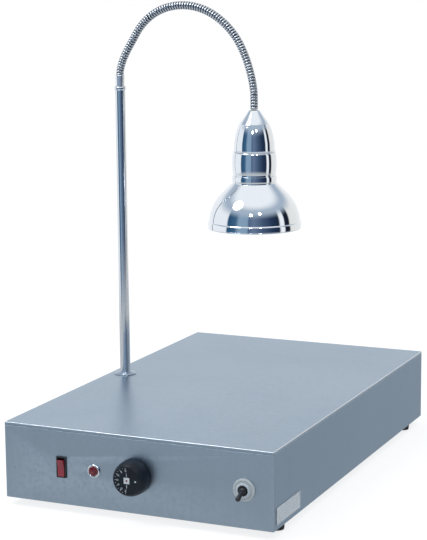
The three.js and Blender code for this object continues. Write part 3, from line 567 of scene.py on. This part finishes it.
def makeFeet():
    r, h = foot["radius"], foot["height"]
    pattern = turned("foot", [
        (foot["bore"], foot["recess"]), (5.2, foot["recess"]), (5.2, 0.5), (5.7, 0), (r - 1.9, 0), (r - 1.0, 0.35),
        (r - 0.65, 1.2), (r - 0.45, 3.0), (r - 0.8, 3.3), (r - 0.8, 3.8), (r - 0.4, 4.1), (r - 0.1, h - 0.8),
        (r - 0.5, h), (foot["bore"], h)], foot["steps"], closed=True)
    smooth(pattern, 32)
    for corner in corners:
        low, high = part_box("foot_" + corner)
        spot = ((low.x + high.x) / 2, (low.y + high.y) / 2, low.z)
        made = copyOf(pattern, "foot " + corner.replace("_", " "), spot)
        handOver(made, finishes["rubber"], "foot_rubber", "cabinet", "foot_" + corner)
    bpy.data.objects.remove(pattern)


# A pan head with a cross recess, facing down, on a plain shank.
def makeScrews():
    r, h = screw["head"], screw["height"]
    low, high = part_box("foot_screw_front_left")
    length = (high.z - low.z) / mm
    pattern = turned("screw", [
        (0, 0), (r * 0.45, 0.08), (r * 0.8, 0.5), (r * 0.97, 1.2), (r, h - 0.2), (r - 0.2, h), (1.95, h),
        (1.95, length - 0.6), (1.4, length), (0, length)], 28)
    half, wide, deep = screw["cross"] * mm / 2, screw["slot"] * mm / 2, screw["slotDeep"] * mm
    cross = joinInto(block("cross", (-half, -wide, -mm), (half, wide, deep)),
                     block("cross", (-wide, -half, -mm), (wide, half, deep)))
    cut = pattern.modifiers.new("recess", "BOOLEAN")
    cut.object, cut.operation, cut.solver, cut.use_self = cross, "DIFFERENCE", "EXACT", True
    finishWith(pattern, "recess")
    bpy.data.objects.remove(cross)
    smooth(pattern, 32)
    for kind in ("foot_screw_", "cover_screw_"):
        for corner in corners:
            low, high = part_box(kind + corner)
            spot = ((low.x + high.x) / 2, (low.y + high.y) / 2, low.z)
            made = copyOf(pattern, (kind + corner).replace("_", " "), spot)
            handOver(made, finishes["screwSteel"], "plain_steel", "cabinet", kind + corner)
    bpy.data.objects.remove(pattern)


makeFeet()
makeScrews()
print("feet and screws made")

# ---- rocker switch and pilot lamp

rocker = {"bezelEdge": 0.6, "buttonEdge": 0.7}
pilot = {"lens": 6.5, "rings": 4, "ringStep": 1.2, "ridge": 0.22}


def makeRocker():
    housing = roundOff(sheetFrom("rocker_housing", "rocker housing"), rocker["bezelEdge"] * mm, 3)
    handOver(smooth(housing), finishes["blackPlastic"], "black_plastic", "cabinet", "rocker_housing")
    button = roundOff(sheetFrom("rocker_button", "rocker button"), rocker["buttonEdge"] * mm, 4, 8)
    handOver(smooth(button, 45), finishes["redPlastic"], "red_plastic", "rocker", "rocker_button")


def makePilot():
    spot = boxMiddle("pilot_bezel")
    spot.y = front
    bezel = turned("pilot bezel", [
        (0, -18), (6.2, -18), (6.2, 0.3), (9.2, 0.3), (9.7, 0.7), (9.75, 1.3), (9.4, 2.1), (8.7, 2.7), (8.0, 2.8),
        (7.3, 2.5), (6.95, 2.0), (6.9, 1.3), (0, 1.3)], 48)
    handOver(place(smooth(bezel), spot, outward), finishes["chrome"], "chrome", "cabinet", "pilot_bezel")
    outline = [(0, 1.7), (pilot["lens"], 1.7), (pilot["lens"], 2.9)]
    for k in range(pilot["rings"]):
        r = pilot["lens"] - 0.25 - k * pilot["ringStep"]
        rise = 2.9 + 2.0 * (1 - (r / pilot["lens"]) ** 2)
        outline += [(r, rise + pilot["ridge"]), (r - 0.75, rise + pilot["ridge"] + 0.15), (r - 1.0, rise)]
    lens = turned("pilot lens", outline + [(0, 5.0)], 36)
    handOver(place(smooth(lens), spot, outward), finishes["redLens"], "red_lens", "cabinet", "pilot_lens")


makeRocker()
makePilot()
print("rocker and pilot made")

# ---- thermostat knob with its dial

knob = {"radius": 25, "proud": 25, "face": 19.0, "dish": 0.35, "steps": 96}
dial = {"figures": ["30", "40", "50", "60", "70", "80", "90"], "size": 3.6, "radius": 14.2, "from": 96, "to": 264,
        "tickInner": 16.2, "tickOuter": 18.0, "tickWidth": 0.55, "square": 8.6, "proud": 0.06}


def makeKnob():
    spot = boxMiddle("thermostat_knob")
    spot.y = front
    r, top = knob["radius"], knob["proud"]
    face = knob["face"]
    side = bend((r, 7.0), (r - 0.2, 15.0), (r - 1.6, top - 3.4), (face + 1.6, top - 0.9), 8)
    body = turned("thermostat knob", [
        (0, 16.3), (3.3, 16.3), (3.3, 2), (8, 2), (8, 7), (r - 3, 7), (r - 3, 1), (r - 0.4, 1), (r, 1.5), (r, 4.4),
        (r - 0.45, 4.7), (r - 0.45, 5.3), (r, 5.6), *side, (face + 0.7, top - 0.25), (face + 0.2, top),
        (face - 0.3, top - 0.1), (face - 0.6, top - knob["dish"]), (0, top - knob["dish"])], knob["steps"])
    handOver(place(smooth(body, 30), spot, outward), finishes["knobPlastic"], "knob_plastic", "dial",
             "thermostat_knob")
    makeDial(spot, (top - knob["dish"]) * mm)


# Ticks, figures and marks stand on the knob's face as thin print.
def makeDial(spot, height):
    marks = []
    proud = dial["proud"] * mm
    count = len(dial["figures"])
    for k in range(2 * count - 1):
        angle = math.radians(dial["from"] + (dial["to"] - dial["from"]) * k / (2 * count - 2))
        inner = dial["tickInner"] if k % 2 == 0 else dial["tickInner"] + 0.8
        half = dial["tickWidth"] * mm / 2
        tick = block("tick", (inner * mm, -half, height), (dial["tickOuter"] * mm, half, height + proud))
        marks.append(place(tick, turn=(0, 0, angle)))
    for k, figure in enumerate(dial["figures"]):
        angle = math.radians(dial["from"] + (dial["to"] - dial["from"]) * k / (count - 1))
        pickNothing()
        bpy.ops.object.text_add()
        text = bpy.context.object
        text.data.body, text.data.size = figure, dial["size"] * mm
        text.data.align_x, text.data.align_y = "CENTER", "CENTER"
        text.data.extrude, text.data.resolution_u = proud / 2, 2
        bpy.ops.object.convert(target="MESH")
        at = (dial["radius"] * mm * math.cos(angle), dial["radius"] * mm * math.sin(angle), height + proud / 2)
        marks.append(place(bpy.context.object, at, (0, 0, angle - math.pi)))
    half = dial["square"] * mm / 2
    marks.append(block("centre square", (-half, -half, height), (half, half, height + proud)))
    half = 0.35 * mm
    for side in (1, -1):
        low, high = sorted((side * 5.4 * mm, side * 10.5 * mm))
        marks.append(block("pointer", (-half, low, height), (half, high, height + proud)))
    pickNothing()
    bpy.ops.mesh.primitive_cylinder_add(vertices=20, radius=1.3 * mm, depth=proud)
    marks.append(place(bpy.context.object, (13.2 * mm, 0, height + proud / 2)))
    marks = place(joinInto(marks[0], *marks[1:]), spot, outward)
    marks.name = "dial print"
    handOver(marks, finishes["dialPrint"], "knob_plastic", "dial")
    pickNothing()
    bpy.ops.mesh.primitive_cylinder_add(vertices=24, radius=1.5 * mm, depth=proud)
    pin = place(bpy.context.object, (0, 0, height + proud * 1.5))
    pin.name = "dial centre"
    handOver(place(pin, spot, outward), finishes["redLens"], "knob_plastic", "dial")


makeKnob()
print("knob made")

# ---- toggle switch

toggle = {"collar": 16, "collarHeight": 3, "nut": 10.5, "lever": 18, "tilt": 21, "ball": 5.5, "neck": 2.7, "tip": 3.5}


def makeToggle():
    spot = boxMiddle("toggle_collar")
    spot.y = front
    r, h = toggle["collar"], toggle["collarHeight"]
    bore = 7.2
    collar = turned("toggle collar", [
        (bore, 0.3), (r - 0.2, 0.3), (r, 0.6), (r - 0.1, 1.4), (r - 0.9, 2.4), (r - 2.2, h), (r - 3.2, h),
        (r - 3.7, h - 0.4), (r - 4.2, h - 0.4), (r - 4.6, h + 0.2), (bore, h + 0.2)], 56, closed=True)
    handOver(place(smooth(collar, 40), spot, outward), finishes["palePlastic"], "pale_plastic", "cabinet",
             "toggle_collar")
    low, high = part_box("toggle_nut")
    near, far = (front - high.y) / mm, (front - low.y) / mm
    n = toggle["nut"]
    nut = turned("toggle nut", [
        (bore, near), (n - 0.3, near), (n, near + 0.4), (n - 0.1, far - 1.0), (n - 1.0, far - 0.3), (n - 2.0, far),
        (bore + 0.7, far), (bore + 0.1, far - 0.5)], 48, closed=True)
    handOver(place(smooth(nut, 40), spot, outward), finishes["dialPrint"], "pale_plastic", "cabinet", "toggle_nut")
    pivot = next(j for j in frame["joints"] if j["name"] == "lever_throw")["pos_m"]
    b, neck, tip, length = toggle["ball"], toggle["neck"], toggle["tip"], toggle["lever"]
    round0 = [(b * math.sin(math.radians(a)), -b * math.cos(math.radians(a))) for a in range(0, 151, 15)]
    lever = turned("toggle lever", [
        *round0, (neck, b * 0.93), (neck, b + 1.5), (tip - 0.3, length - 4), (tip, length - 1.5), (tip, length),
        (tip - 0.5, length + 1.6), (tip - 1.6, length + 2.9), (0, length + 3.4)], 32)
    place(smooth(lever, 40), turn=(math.pi / 2 + math.radians(toggle["tilt"]), 0, 0))
    handOver(place(lever, pivot), finishes["blackPlastic"], "black_plastic", "lever", "toggle_lever")


makeToggle()
print("toggle made")

# ---- cable gland at the back

gland = {"edge": 0.5}


def makeGland():
    made = roundOff(sheetFrom("cable_gland", "cable gland"), gland["edge"] * mm, 2, 30)
    handOver(smooth(made), finishes["blackPlastic"], "black_plastic", "cabinet", "cable_gland")


makeGland()
print("gland made")

# ---- post

post = {"radius": 8, "wall": 1.2, "flange": 17, "flangeHeight": 3, "collar": 9.4}


def makePost():
    low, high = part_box("post_tube")
    axis = Vector(((low.x + high.x) / 2, (low.y + high.y) / 2, 0))
    r, inner = post["radius"], post["radius"] - post["wall"]
    foot, head = low.z / mm, high.z / mm
    tube = turned("post", [
        (inner, foot), (r, foot), (r, foot + 60), (r, head - 60), (r, head - 0.4), (r - 0.4, head), (inner, head)],
        72, closed=True)
    handOver(place(smooth(tube), axis), finishes["postChrome"], "chrome", "cabinet", "post_tube")
    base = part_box("post_flange")[0].z / mm
    f, h = post["flange"], post["flangeHeight"]
    flange = turned("post flange", [
        (r + 0.3, base), (f - 0.2, base), (f, base + 0.3), (f - 0.3, base + 0.9), (f - 2.0, base + 1.6),
        (f - 5.0, base + 2.2), (r + 2.0, base + h - 0.2), (r + 0.9, base + h), (r + 0.3, base + h - 0.3)],
        64, closed=True)
    handOver(place(smooth(flange, 40), axis), finishes["flangeSteel"], "chrome", "cabinet", "post_flange")
    ringLow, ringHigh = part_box("post_collar")
    a, b, c = ringLow.z / mm, ringHigh.z / mm, post["collar"]
    collar = turned("post collar", [
        (r + 0.3, a), (c - 0.7, a), (c - 0.15, a + 0.6), (c, a + 1.4), (c, b - 1.4), (c - 0.15, b - 0.6),
        (c - 0.7, b), (r + 0.3, b)], 64, closed=True)
    handOver(place(smooth(collar, 50), axis), finishes["chrome"], "chrome", "cabinet", "post_collar")
    return axis


postAxis = makePost()
print("post made")

# ---- gooseneck: ribbed hose in six lengths, each laid along the hose's line round one joint

hose = {"ribs": 17, "bendLength": 71, "lean": 17, "turns": [14, 46, 41, 35, 21],
        "crest": 6.25, "root": 4.9, "groove": 0.75, "steps": 24, "give": 28}
neckJoints = ["neck_lean", "neck_low_swing", "neck_arch", "neck_high_swing", "neck_drop", "lamp_swing"]
pivots = [Vector(next(j for j in frame["joints"] if j["name"] == name)["pos_m"]) for name in neckJoints]


# The first bend leaves the post upright and meets the second one at its heading.
def firstBend(t, length):
    a, b = pivots[0], pivots[1]
    heading = math.radians(hose["lean"] + hose["turns"][0])
    rise, run = Vector((0, 0, length)), Vector((math.sin(heading), 0, math.cos(heading))) * length
    spot = (a * (2 * t ** 3 - 3 * t ** 2 + 1) + rise * (t ** 3 - 2 * t ** 2 + t)
            + b * (3 * t ** 2 - 2 * t ** 3) + run * (t ** 3 - t ** 2))
    along = (a * (6 * t ** 2 - 6 * t) + rise * (3 * t ** 2 - 4 * t + 1)
             + b * (6 * t - 6 * t ** 2) + run * (3 * t ** 2 - 2 * t))
    return spot, math.atan2(along.x, along.z)


# The middle line of the hose: a point and its heading, by length from the first pivot.
def hoseLine(length):
    each = hose["bendLength"] * mm
    if length < each:
        return firstBend(max(length, 0) / each, each)
    spot, heading = pivots[0].copy(), math.radians(hose["lean"])
    if length > each * len(hose["turns"]):
        return pivots[-1] + Vector((0, 0, each * len(hose["turns"]) - length)), math.pi
    for turnDegrees in hose["turns"]:
        turn = math.radians(turnDegrees)
        radius, part = each / turn, min(length, each) / each
        now = heading + turn * part
        moved = Vector((math.cos(heading) - math.cos(now), 0, math.sin(now) - math.sin(heading))) * radius
        spot = spot + moved
        heading = now
        length -= each
        if length <= 0:
            break
    return spot, heading


def makeHoseLength(name, start, ribCount):
    pitch = hose["bendLength"] / hose["ribs"]
    crest, root = hose["crest"], hose["root"]
    rib = turned(name, [
        (root, 0), (root + 0.35, pitch * 0.06), (crest - 0.3, pitch * 0.17), (crest, pitch * 0.36),
        (crest, pitch * 0.6), (crest - 0.3, pitch * 0.8), (root + 0.35, pitch * 0.93), (root, pitch)], hose["steps"])
    # Faces near each rib's root take the near-black finish: painted shade in the grooves.
    for finish in ("hoseChrome", "hoseGroove"):
        rib.data.materials.append(finishes[finish])
    for polygon in rib.data.polygons:
        if math.hypot(polygon.center.x, polygon.center.y) < (root + hose["groove"]) * mm:
            polygon.material_index = 1
    row = rib.modifiers.new("row", "ARRAY")
    row.count, row.use_relative_offset, row.use_constant_offset = ribCount, False, True
    row.constant_offset_displace = (0, 0, pitch * mm)
    row.use_merge_vertices, row.merge_threshold = True, 1e-5
    finishWith(rib, "row")
    length = ribCount * pitch * mm
    line = bpy.data.curves.new(name + " line", "CURVE")
    line.dimensions, line.twist_mode = "3D", "Z_UP"
    spline = line.splines.new("POLY")
    pointCount = 60
    spline.points.add(pointCount - 1)
    for k, point in enumerate(spline.points):
        spot = hoseLine(start + length * k / (pointCount - 1))[0]
        point.co = (*spot, 1)
    guide = bpy.data.objects.new(name + " line", line)
    bpy.context.scene.collection.objects.link(guide)
    follow = rib.modifiers.new("bend", "CURVE")
    follow.object, follow.deform_axis = guide, "POS_Z"
    finishWith(rib, "bend")
    bpy.data.objects.remove(guide)
    edit(rib)
    bpy.ops.mesh.normals_make_consistent(inside=False)
    leaveEdit()
    return smooth(rib, 50, False)


def makeHose():
    each = hose["bendLength"] * mm
    pitch = each / hose["ribs"]
    nodes = ["gooseneck_1", "gooseneck_2", "gooseneck_3", "gooseneck_4", "gooseneck_5", "lamp_ferrule"]
    for k, pivot in enumerate(pivots):
        start = each * (k - 0.5)
        ribCount = hose["ribs"]
        if k == 0:
            ribCount = 8
            start = each / 2 - ribCount * pitch
        if k == 5:
            ribCount = 14
        made = makeHoseLength("hose-" + str(k + 1), start, ribCount)
        here = each * k
        give = hose["give"] * mm
        before, after = hoseLine(max(here - give, 0.006))[0], hoseLine(here + give)[0]
        if k == 0:
            before, after = hoseLine(0.006)[0], hoseLine(0.032)[0]
        if k == 5:
            after = pivot + Vector((0, 0, -0.004))
        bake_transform(made)
        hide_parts(nodes[k])


# Smooth sleeve that the hose leaves the post by.
sleeve = {"radius": 7.3, "bore": 6.5, "rise": 22.6, "plug": 14}


def makeSleeve():
    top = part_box("post_tube")[1].z / mm
    r, bore, rise = sleeve["radius"], sleeve["bore"], sleeve["rise"]
    made = turned("hose sleeve", [
        (4.6, top - sleeve["plug"]), (6.4, top - sleeve["plug"]), (6.4, top + 0.3), (r - 0.3, top + 0.3),
        (r, top + 0.8), (r, top + rise - 1.0), (r - 0.3, top + rise - 0.2), (bore + 0.2, top + rise),
        (bore, top + rise - 0.5), (bore, top + 5), (4.6, top + 3)], 48, closed=True)
    handOver(place(smooth(made, 40), postAxis), finishes["sleeveChrome"], "chrome", "cabinet", "upper_ferrule")


makeHose()
makeSleeve()
print("gooseneck made")

# ---- lamp, with heights measured down from the last pivot

lamp = {"capTop": 24.3, "shoulder": (22.4, 45.3), "capBottom": (31.2, 86.3), "wall": 1.2, "steps": 128}
shade = {"neck": 32.2, "step": 120.6, "bellTop": 132.8, "bellBottom": 189.6, "rim": 200.6, "rimRadius": 69.8,
         "roll": 1.05, "rollIn": 0.9}
bulb = {"neck": 12.8, "radius": 59, "top": 101, "face": 188.6, "sheet": 1.5}


def hang(piece):
    return place(piece, pivots[-1], (math.pi, 0, 0))


def makeCap():
    shoulder, bottom = lamp["shoulder"], lamp["capBottom"]
    wall = bend((shoulder[0] + 0.7, shoulder[1] + 1.2), (shoulder[0] + 3.6, shoulder[1] + 7),
                (bottom[0] - 3.0, shoulder[1] + 15), (bottom[0] - 1.1, shoulder[1] + 27), 10)
    cone = [(8.6 + (shoulder[0] - 8.6) * t, lamp["capTop"] + 1.3 + (shoulder[1] - lamp["capTop"] - 1.9) * t)
            for t in (0, 0.15, 0.4, 0.7, 1.0)]
    outline = [(6.7, lamp["capTop"]), (7.8, lamp["capTop"] + 0.3), *cone,
               (shoulder[0] + 0.35, shoulder[1] + 0.1), *wall,
               (bottom[0] - 0.6, bottom[1] - 4.0), (bottom[0] - 0.3, bottom[1] - 2.6),
               (bottom[0] + 0.5, bottom[1] - 2.1),
               (bottom[0] + 0.9, bottom[1] - 1.1), (bottom[0] + 0.5, bottom[1])]
    cap = turned("lamp cap", outline, lamp["steps"], lamp["wall"])
    handOver(hang(smooth(cap, 28, False)), finishes["chrome"], "chrome", "lamp", "lamp_cap")


def makeShade():
    n, top = shade["neck"], lamp["capBottom"][1] + 0.3
    step, bellTop, bellBottom, rim = shade["step"], shade["bellTop"], shade["bellBottom"], shade["rim"]
    barrel = bend((n - 0.1, top + 1.2), (n + 1.5, top + 9), (n + 1.5, step - 10), (n - 0.1, step - 1.4), 10)
    ringPart = bend((n + 0.7, step + 1.2), (n + 1.5, step + 3), (n + 1.5, bellTop - 4), (n + 0.9, bellTop - 1.8), 6)
    bell = bend((n + 1.4, bellTop), (n + 14.5, bellTop + 14), (shade["rimRadius"] - 4.2, bellTop + 26),
                (shade["rimRadius"] - 1.5, bellBottom), 22)
    R = shade["rimRadius"]
    outline = [(n - 0.9, top), (n - 0.5, top + 0.5), *barrel, (n - 0.7, step - 0.7), (n - 0.6, step + 0.3),
               *ringPart, (n + 0.3, bellTop - 1.1), (n + 0.4, bellTop - 0.6), *bell,
               (R - 0.9, bellBottom + 0.7), (R - 0.2, bellBottom + 1.6), (R, bellBottom + 2.6), (R, rim - 2.2),
               (R - 0.1, rim - 1.2)]
    body = turned("lamp shade", outline, lamp["steps"], lamp["wall"])
    pickNothing()
    bpy.ops.mesh.primitive_torus_add(
        major_radius=(R - shade["rollIn"]) * mm, minor_radius=shade["roll"] * mm, major_segments=lamp["steps"],
        minor_segments=14, location=(0, 0, (rim - shade["roll"]) * mm))
    roll = place(bpy.context.object, bpy.context.object.location.copy())
    joinInto(body, roll)
    handOver(hang(smooth(body, 28, False)), finishes["chrome"], "chrome", "lamp", "lamp_shade")


def makeBulb():
    neck, r, face = bulb["neck"], bulb["radius"], bulb["face"]
    flare = bend((neck, bulb["top"]), (neck + 6, 128.6), (r - 1, face - 36), (r, face - 13), 16)
    outline = [(neck - 0.6, lamp["capBottom"][1] + 0.7), (neck, lamp["capBottom"][1] + 1.2), *flare]
    body = turned("bulb", [*outline, (r - 0.2, face - 10.5), (r - 2, face - 6), (r - 5, face - 3.9),
                           (r - 9, face - 2.5), (r * 0.75, face - 1.4), (r / 2, face - 0.6), (r / 4, face - 0.15),
                           (0, face)], 96, bulb["sheet"])
    handOver(hang(smooth(body, 40, False)), finishes["bulbFace"], "bulb_glass", "lamp", "bulb_glass")
    body.data.materials.append(finishes["bulbMirror"])
    edgeHeight = pivots[-1].z - (face - 12.5) * mm
    for polygon in body.data.polygons:
        if polygon.center.z > edgeHeight:
            polygon.material_index = 1


makeCap()
makeShade()
makeBulb()
print("lamp made")

# ---- studio

studio = {
    "towards": 23.5,           # degrees from -Y round to the camera's side
    "ceiling": (0.95, 0.97, 1.0),
    "floorSize": 60,
    "floorGloss": (0.56, 0.58, 0.60),
    "floorFade": (1.0, 1.8),   # metres out, from pale floor to the room's colours
    "wall": (0.42, 0.5, 0.6),  # tone between the room and the ceiling, and how steeply it is looked up at
    "wallFrom": (0.3, 0.62),
    "ceilingFrom": (0.64, 0.88),
}
# What stands round the object, by angle from the camera's side (left is negative), as chrome shows it.
surroundings = [
    (-180, (0.95, 0.96, 0.98)), (-76, (0.9, 0.93, 0.97)), (-72, (0.02, 0.08, 0.17)), (-50, (0.056, 0.136, 0.242)),
    (-41, (0.26, 0.38, 0.51)), (-19, (0.24, 0.36, 0.49)), (-16, (0.09, 0.14, 0.24)), (-4, (0.14, 0.2, 0.31)),
    (20, (0.06, 0.1, 0.18)), (44, (0.021, 0.041, 0.091)), (63, (0.012, 0.024, 0.05)), (68, (0.95, 0.97, 1.0)),
    (78, (0.95, 0.97, 1.0)), (81, (0.01, 0.015, 0.03)), (95, (0.01, 0.015, 0.03)), (99, (0.86, 0.84, 0.81)),
    (180, (0.95, 0.96, 0.98)),
]


# The colour of the room in the direction of a vector, by its angle round from the camera's side.
def roomColour(tree, heading):
    angle = math.radians(studio["towards"])

    def along(direction):
        dot = add(tree, "ShaderNodeVectorMath", operation="DOT_PRODUCT")
        tree.links.new(heading, dot.inputs[0])
        dot.inputs[1].default_value = direction
        return dot.outputs["Value"]

    towards = along((math.sin(angle), -math.cos(angle), 0))
    right = along((math.cos(angle), math.sin(angle), 0))
    turn = add(tree, "ShaderNodeMath", operation="ARCTAN2")
    tree.links.new(right, turn.inputs[0])
    tree.links.new(towards, turn.inputs[1])
    across = remap(tree, turn.outputs[0], -math.pi, math.pi, 0, 1)
    ramp = add(tree, "ShaderNodeValToRGB")
    tree.links.new(across, ramp.inputs["Fac"])
    stops = ramp.color_ramp.elements
    while len(stops) < len(surroundings):
        stops.new(0.5)
    for stop, (degrees, colour) in zip(stops, surroundings):
        stop.position = (degrees + 180) / 360
        stop.color = (*colour, 1)
    return ramp.outputs["Color"], along((0, 0, 1))


def makeWorld():
    world = bpy.data.worlds.new("studio")
    bpy.context.scene.world = world
    world.use_nodes = True
    tree = world.node_tree
    tree.nodes.clear()
    room, rise = roomColour(tree, add(tree, "ShaderNodeTexCoord").outputs["Generated"])
    low, high = studio["ceilingFrom"]
    up = add(tree, "ShaderNodeMapRange", {"From Min": low, "From Max": high}, interpolation_type="SMOOTHSTEP")
    tree.links.new(rise, up.inputs["Value"])
    low, high = studio["wallFrom"]
    above = add(tree, "ShaderNodeMapRange", {"From Min": low, "From Max": high}, interpolation_type="SMOOTHSTEP")
    tree.links.new(rise, above.inputs["Value"])
    wall = blended(tree, above.outputs["Result"], room, studio["wall"])
    sky = blended(tree, up.outputs["Result"], wall, studio["ceiling"])
    lit = add(tree, "ShaderNodeBackground", {"Strength": 1.0})
    tree.links.new(sky, lit.inputs["Color"])
    plain = add(tree, "ShaderNodeBackground", {"Color": (1, 1, 1, 1), "Strength": 1.0})
    seen = add(tree, "ShaderNodeLightPath")
    choose = add(tree, "ShaderNodeMixShader")
    tree.links.new(seen.outputs["Is Camera Ray"], choose.inputs[0])
    tree.links.new(lit.outputs[0], choose.inputs[1])
    tree.links.new(plain.outputs[0], choose.inputs[2])
    out = add(tree, "ShaderNodeOutputWorld")
    tree.links.new(choose.outputs[0], out.inputs["Surface"])


def makeFloor():
    pickNothing()
    bpy.ops.mesh.primitive_plane_add(size=studio["floorSize"])
    floor = bpy.context.object
    floor.name = "floor"
    material = bpy.data.materials.new("floor")
    material.use_nodes = True
    tree = material.node_tree
    tree.nodes.clear()
    white = add(tree, "ShaderNodeEmission", {"Color": (1, 1, 1, 1), "Strength": 0.8})
    shaded = add(tree, "ShaderNodeBsdfDiffuse", {"Color": (0.3, 0.3, 0.3, 1)})
    both = add(tree, "ShaderNodeAddShader")
    tree.links.new(white.outputs[0], both.inputs[0])
    tree.links.new(shaded.outputs[0], both.inputs[1])
    spot = add(tree, "ShaderNodeTexCoord").outputs["Object"]
    room = roomColour(tree, spot)[0]
    reach = add(tree, "ShaderNodeVectorMath", operation="LENGTH")
    tree.links.new(spot, reach.inputs[0])
    near, far = studio["floorFade"]
    fade = add(tree, "ShaderNodeMapRange", {"From Min": near, "From Max": far}, interpolation_type="SMOOTHSTEP")
    tree.links.new(reach.outputs["Value"], fade.inputs["Value"])
    gloss = add(tree, "ShaderNodeEmission", {"Strength": 1.0})
    tree.links.new(blended(tree, fade.outputs["Result"], studio["floorGloss"], room), gloss.inputs["Color"])
    seen = add(tree, "ShaderNodeLightPath")
    choose = add(tree, "ShaderNodeMixShader")
    tree.links.new(seen.outputs["Is Camera Ray"], choose.inputs[0])
    tree.links.new(gloss.outputs[0], choose.inputs[1])
    tree.links.new(both.outputs[0], choose.inputs[2])
    out = add(tree, "ShaderNodeOutputMaterial")
    tree.links.new(choose.outputs[0], out.inputs["Surface"])
    floor.data.materials.append(material)


def makeLight(name, spot, target, size, power):
    pickNothing()
    bpy.ops.object.light_add(type="AREA", location=spot)
    light = bpy.context.object
    light.name = name
    light.rotation_euler = (Vector(target) - Vector(spot)).to_track_quat("-Z", "Y").to_euler()
    light.data.shape, light.data.size, light.data.energy = "DISK", size, power
    light.visible_camera = False


bpy.context.scene.view_settings.view_transform = "Standard"
makeWorld()
makeFloor()
makeLight("key", (-1.0, -1.2, 2.2), (0, 0, 0.1), 1.0, 16)
makeLight("front lamp", (0.6, -2.6, 1.9), (0.05, 0, 0.4), 0.35, 5)
makeLight("side lamp", (1.6, -2.0, 2.1), (0.05, 0, 0.4), 0.35, 5)
print("studio set")
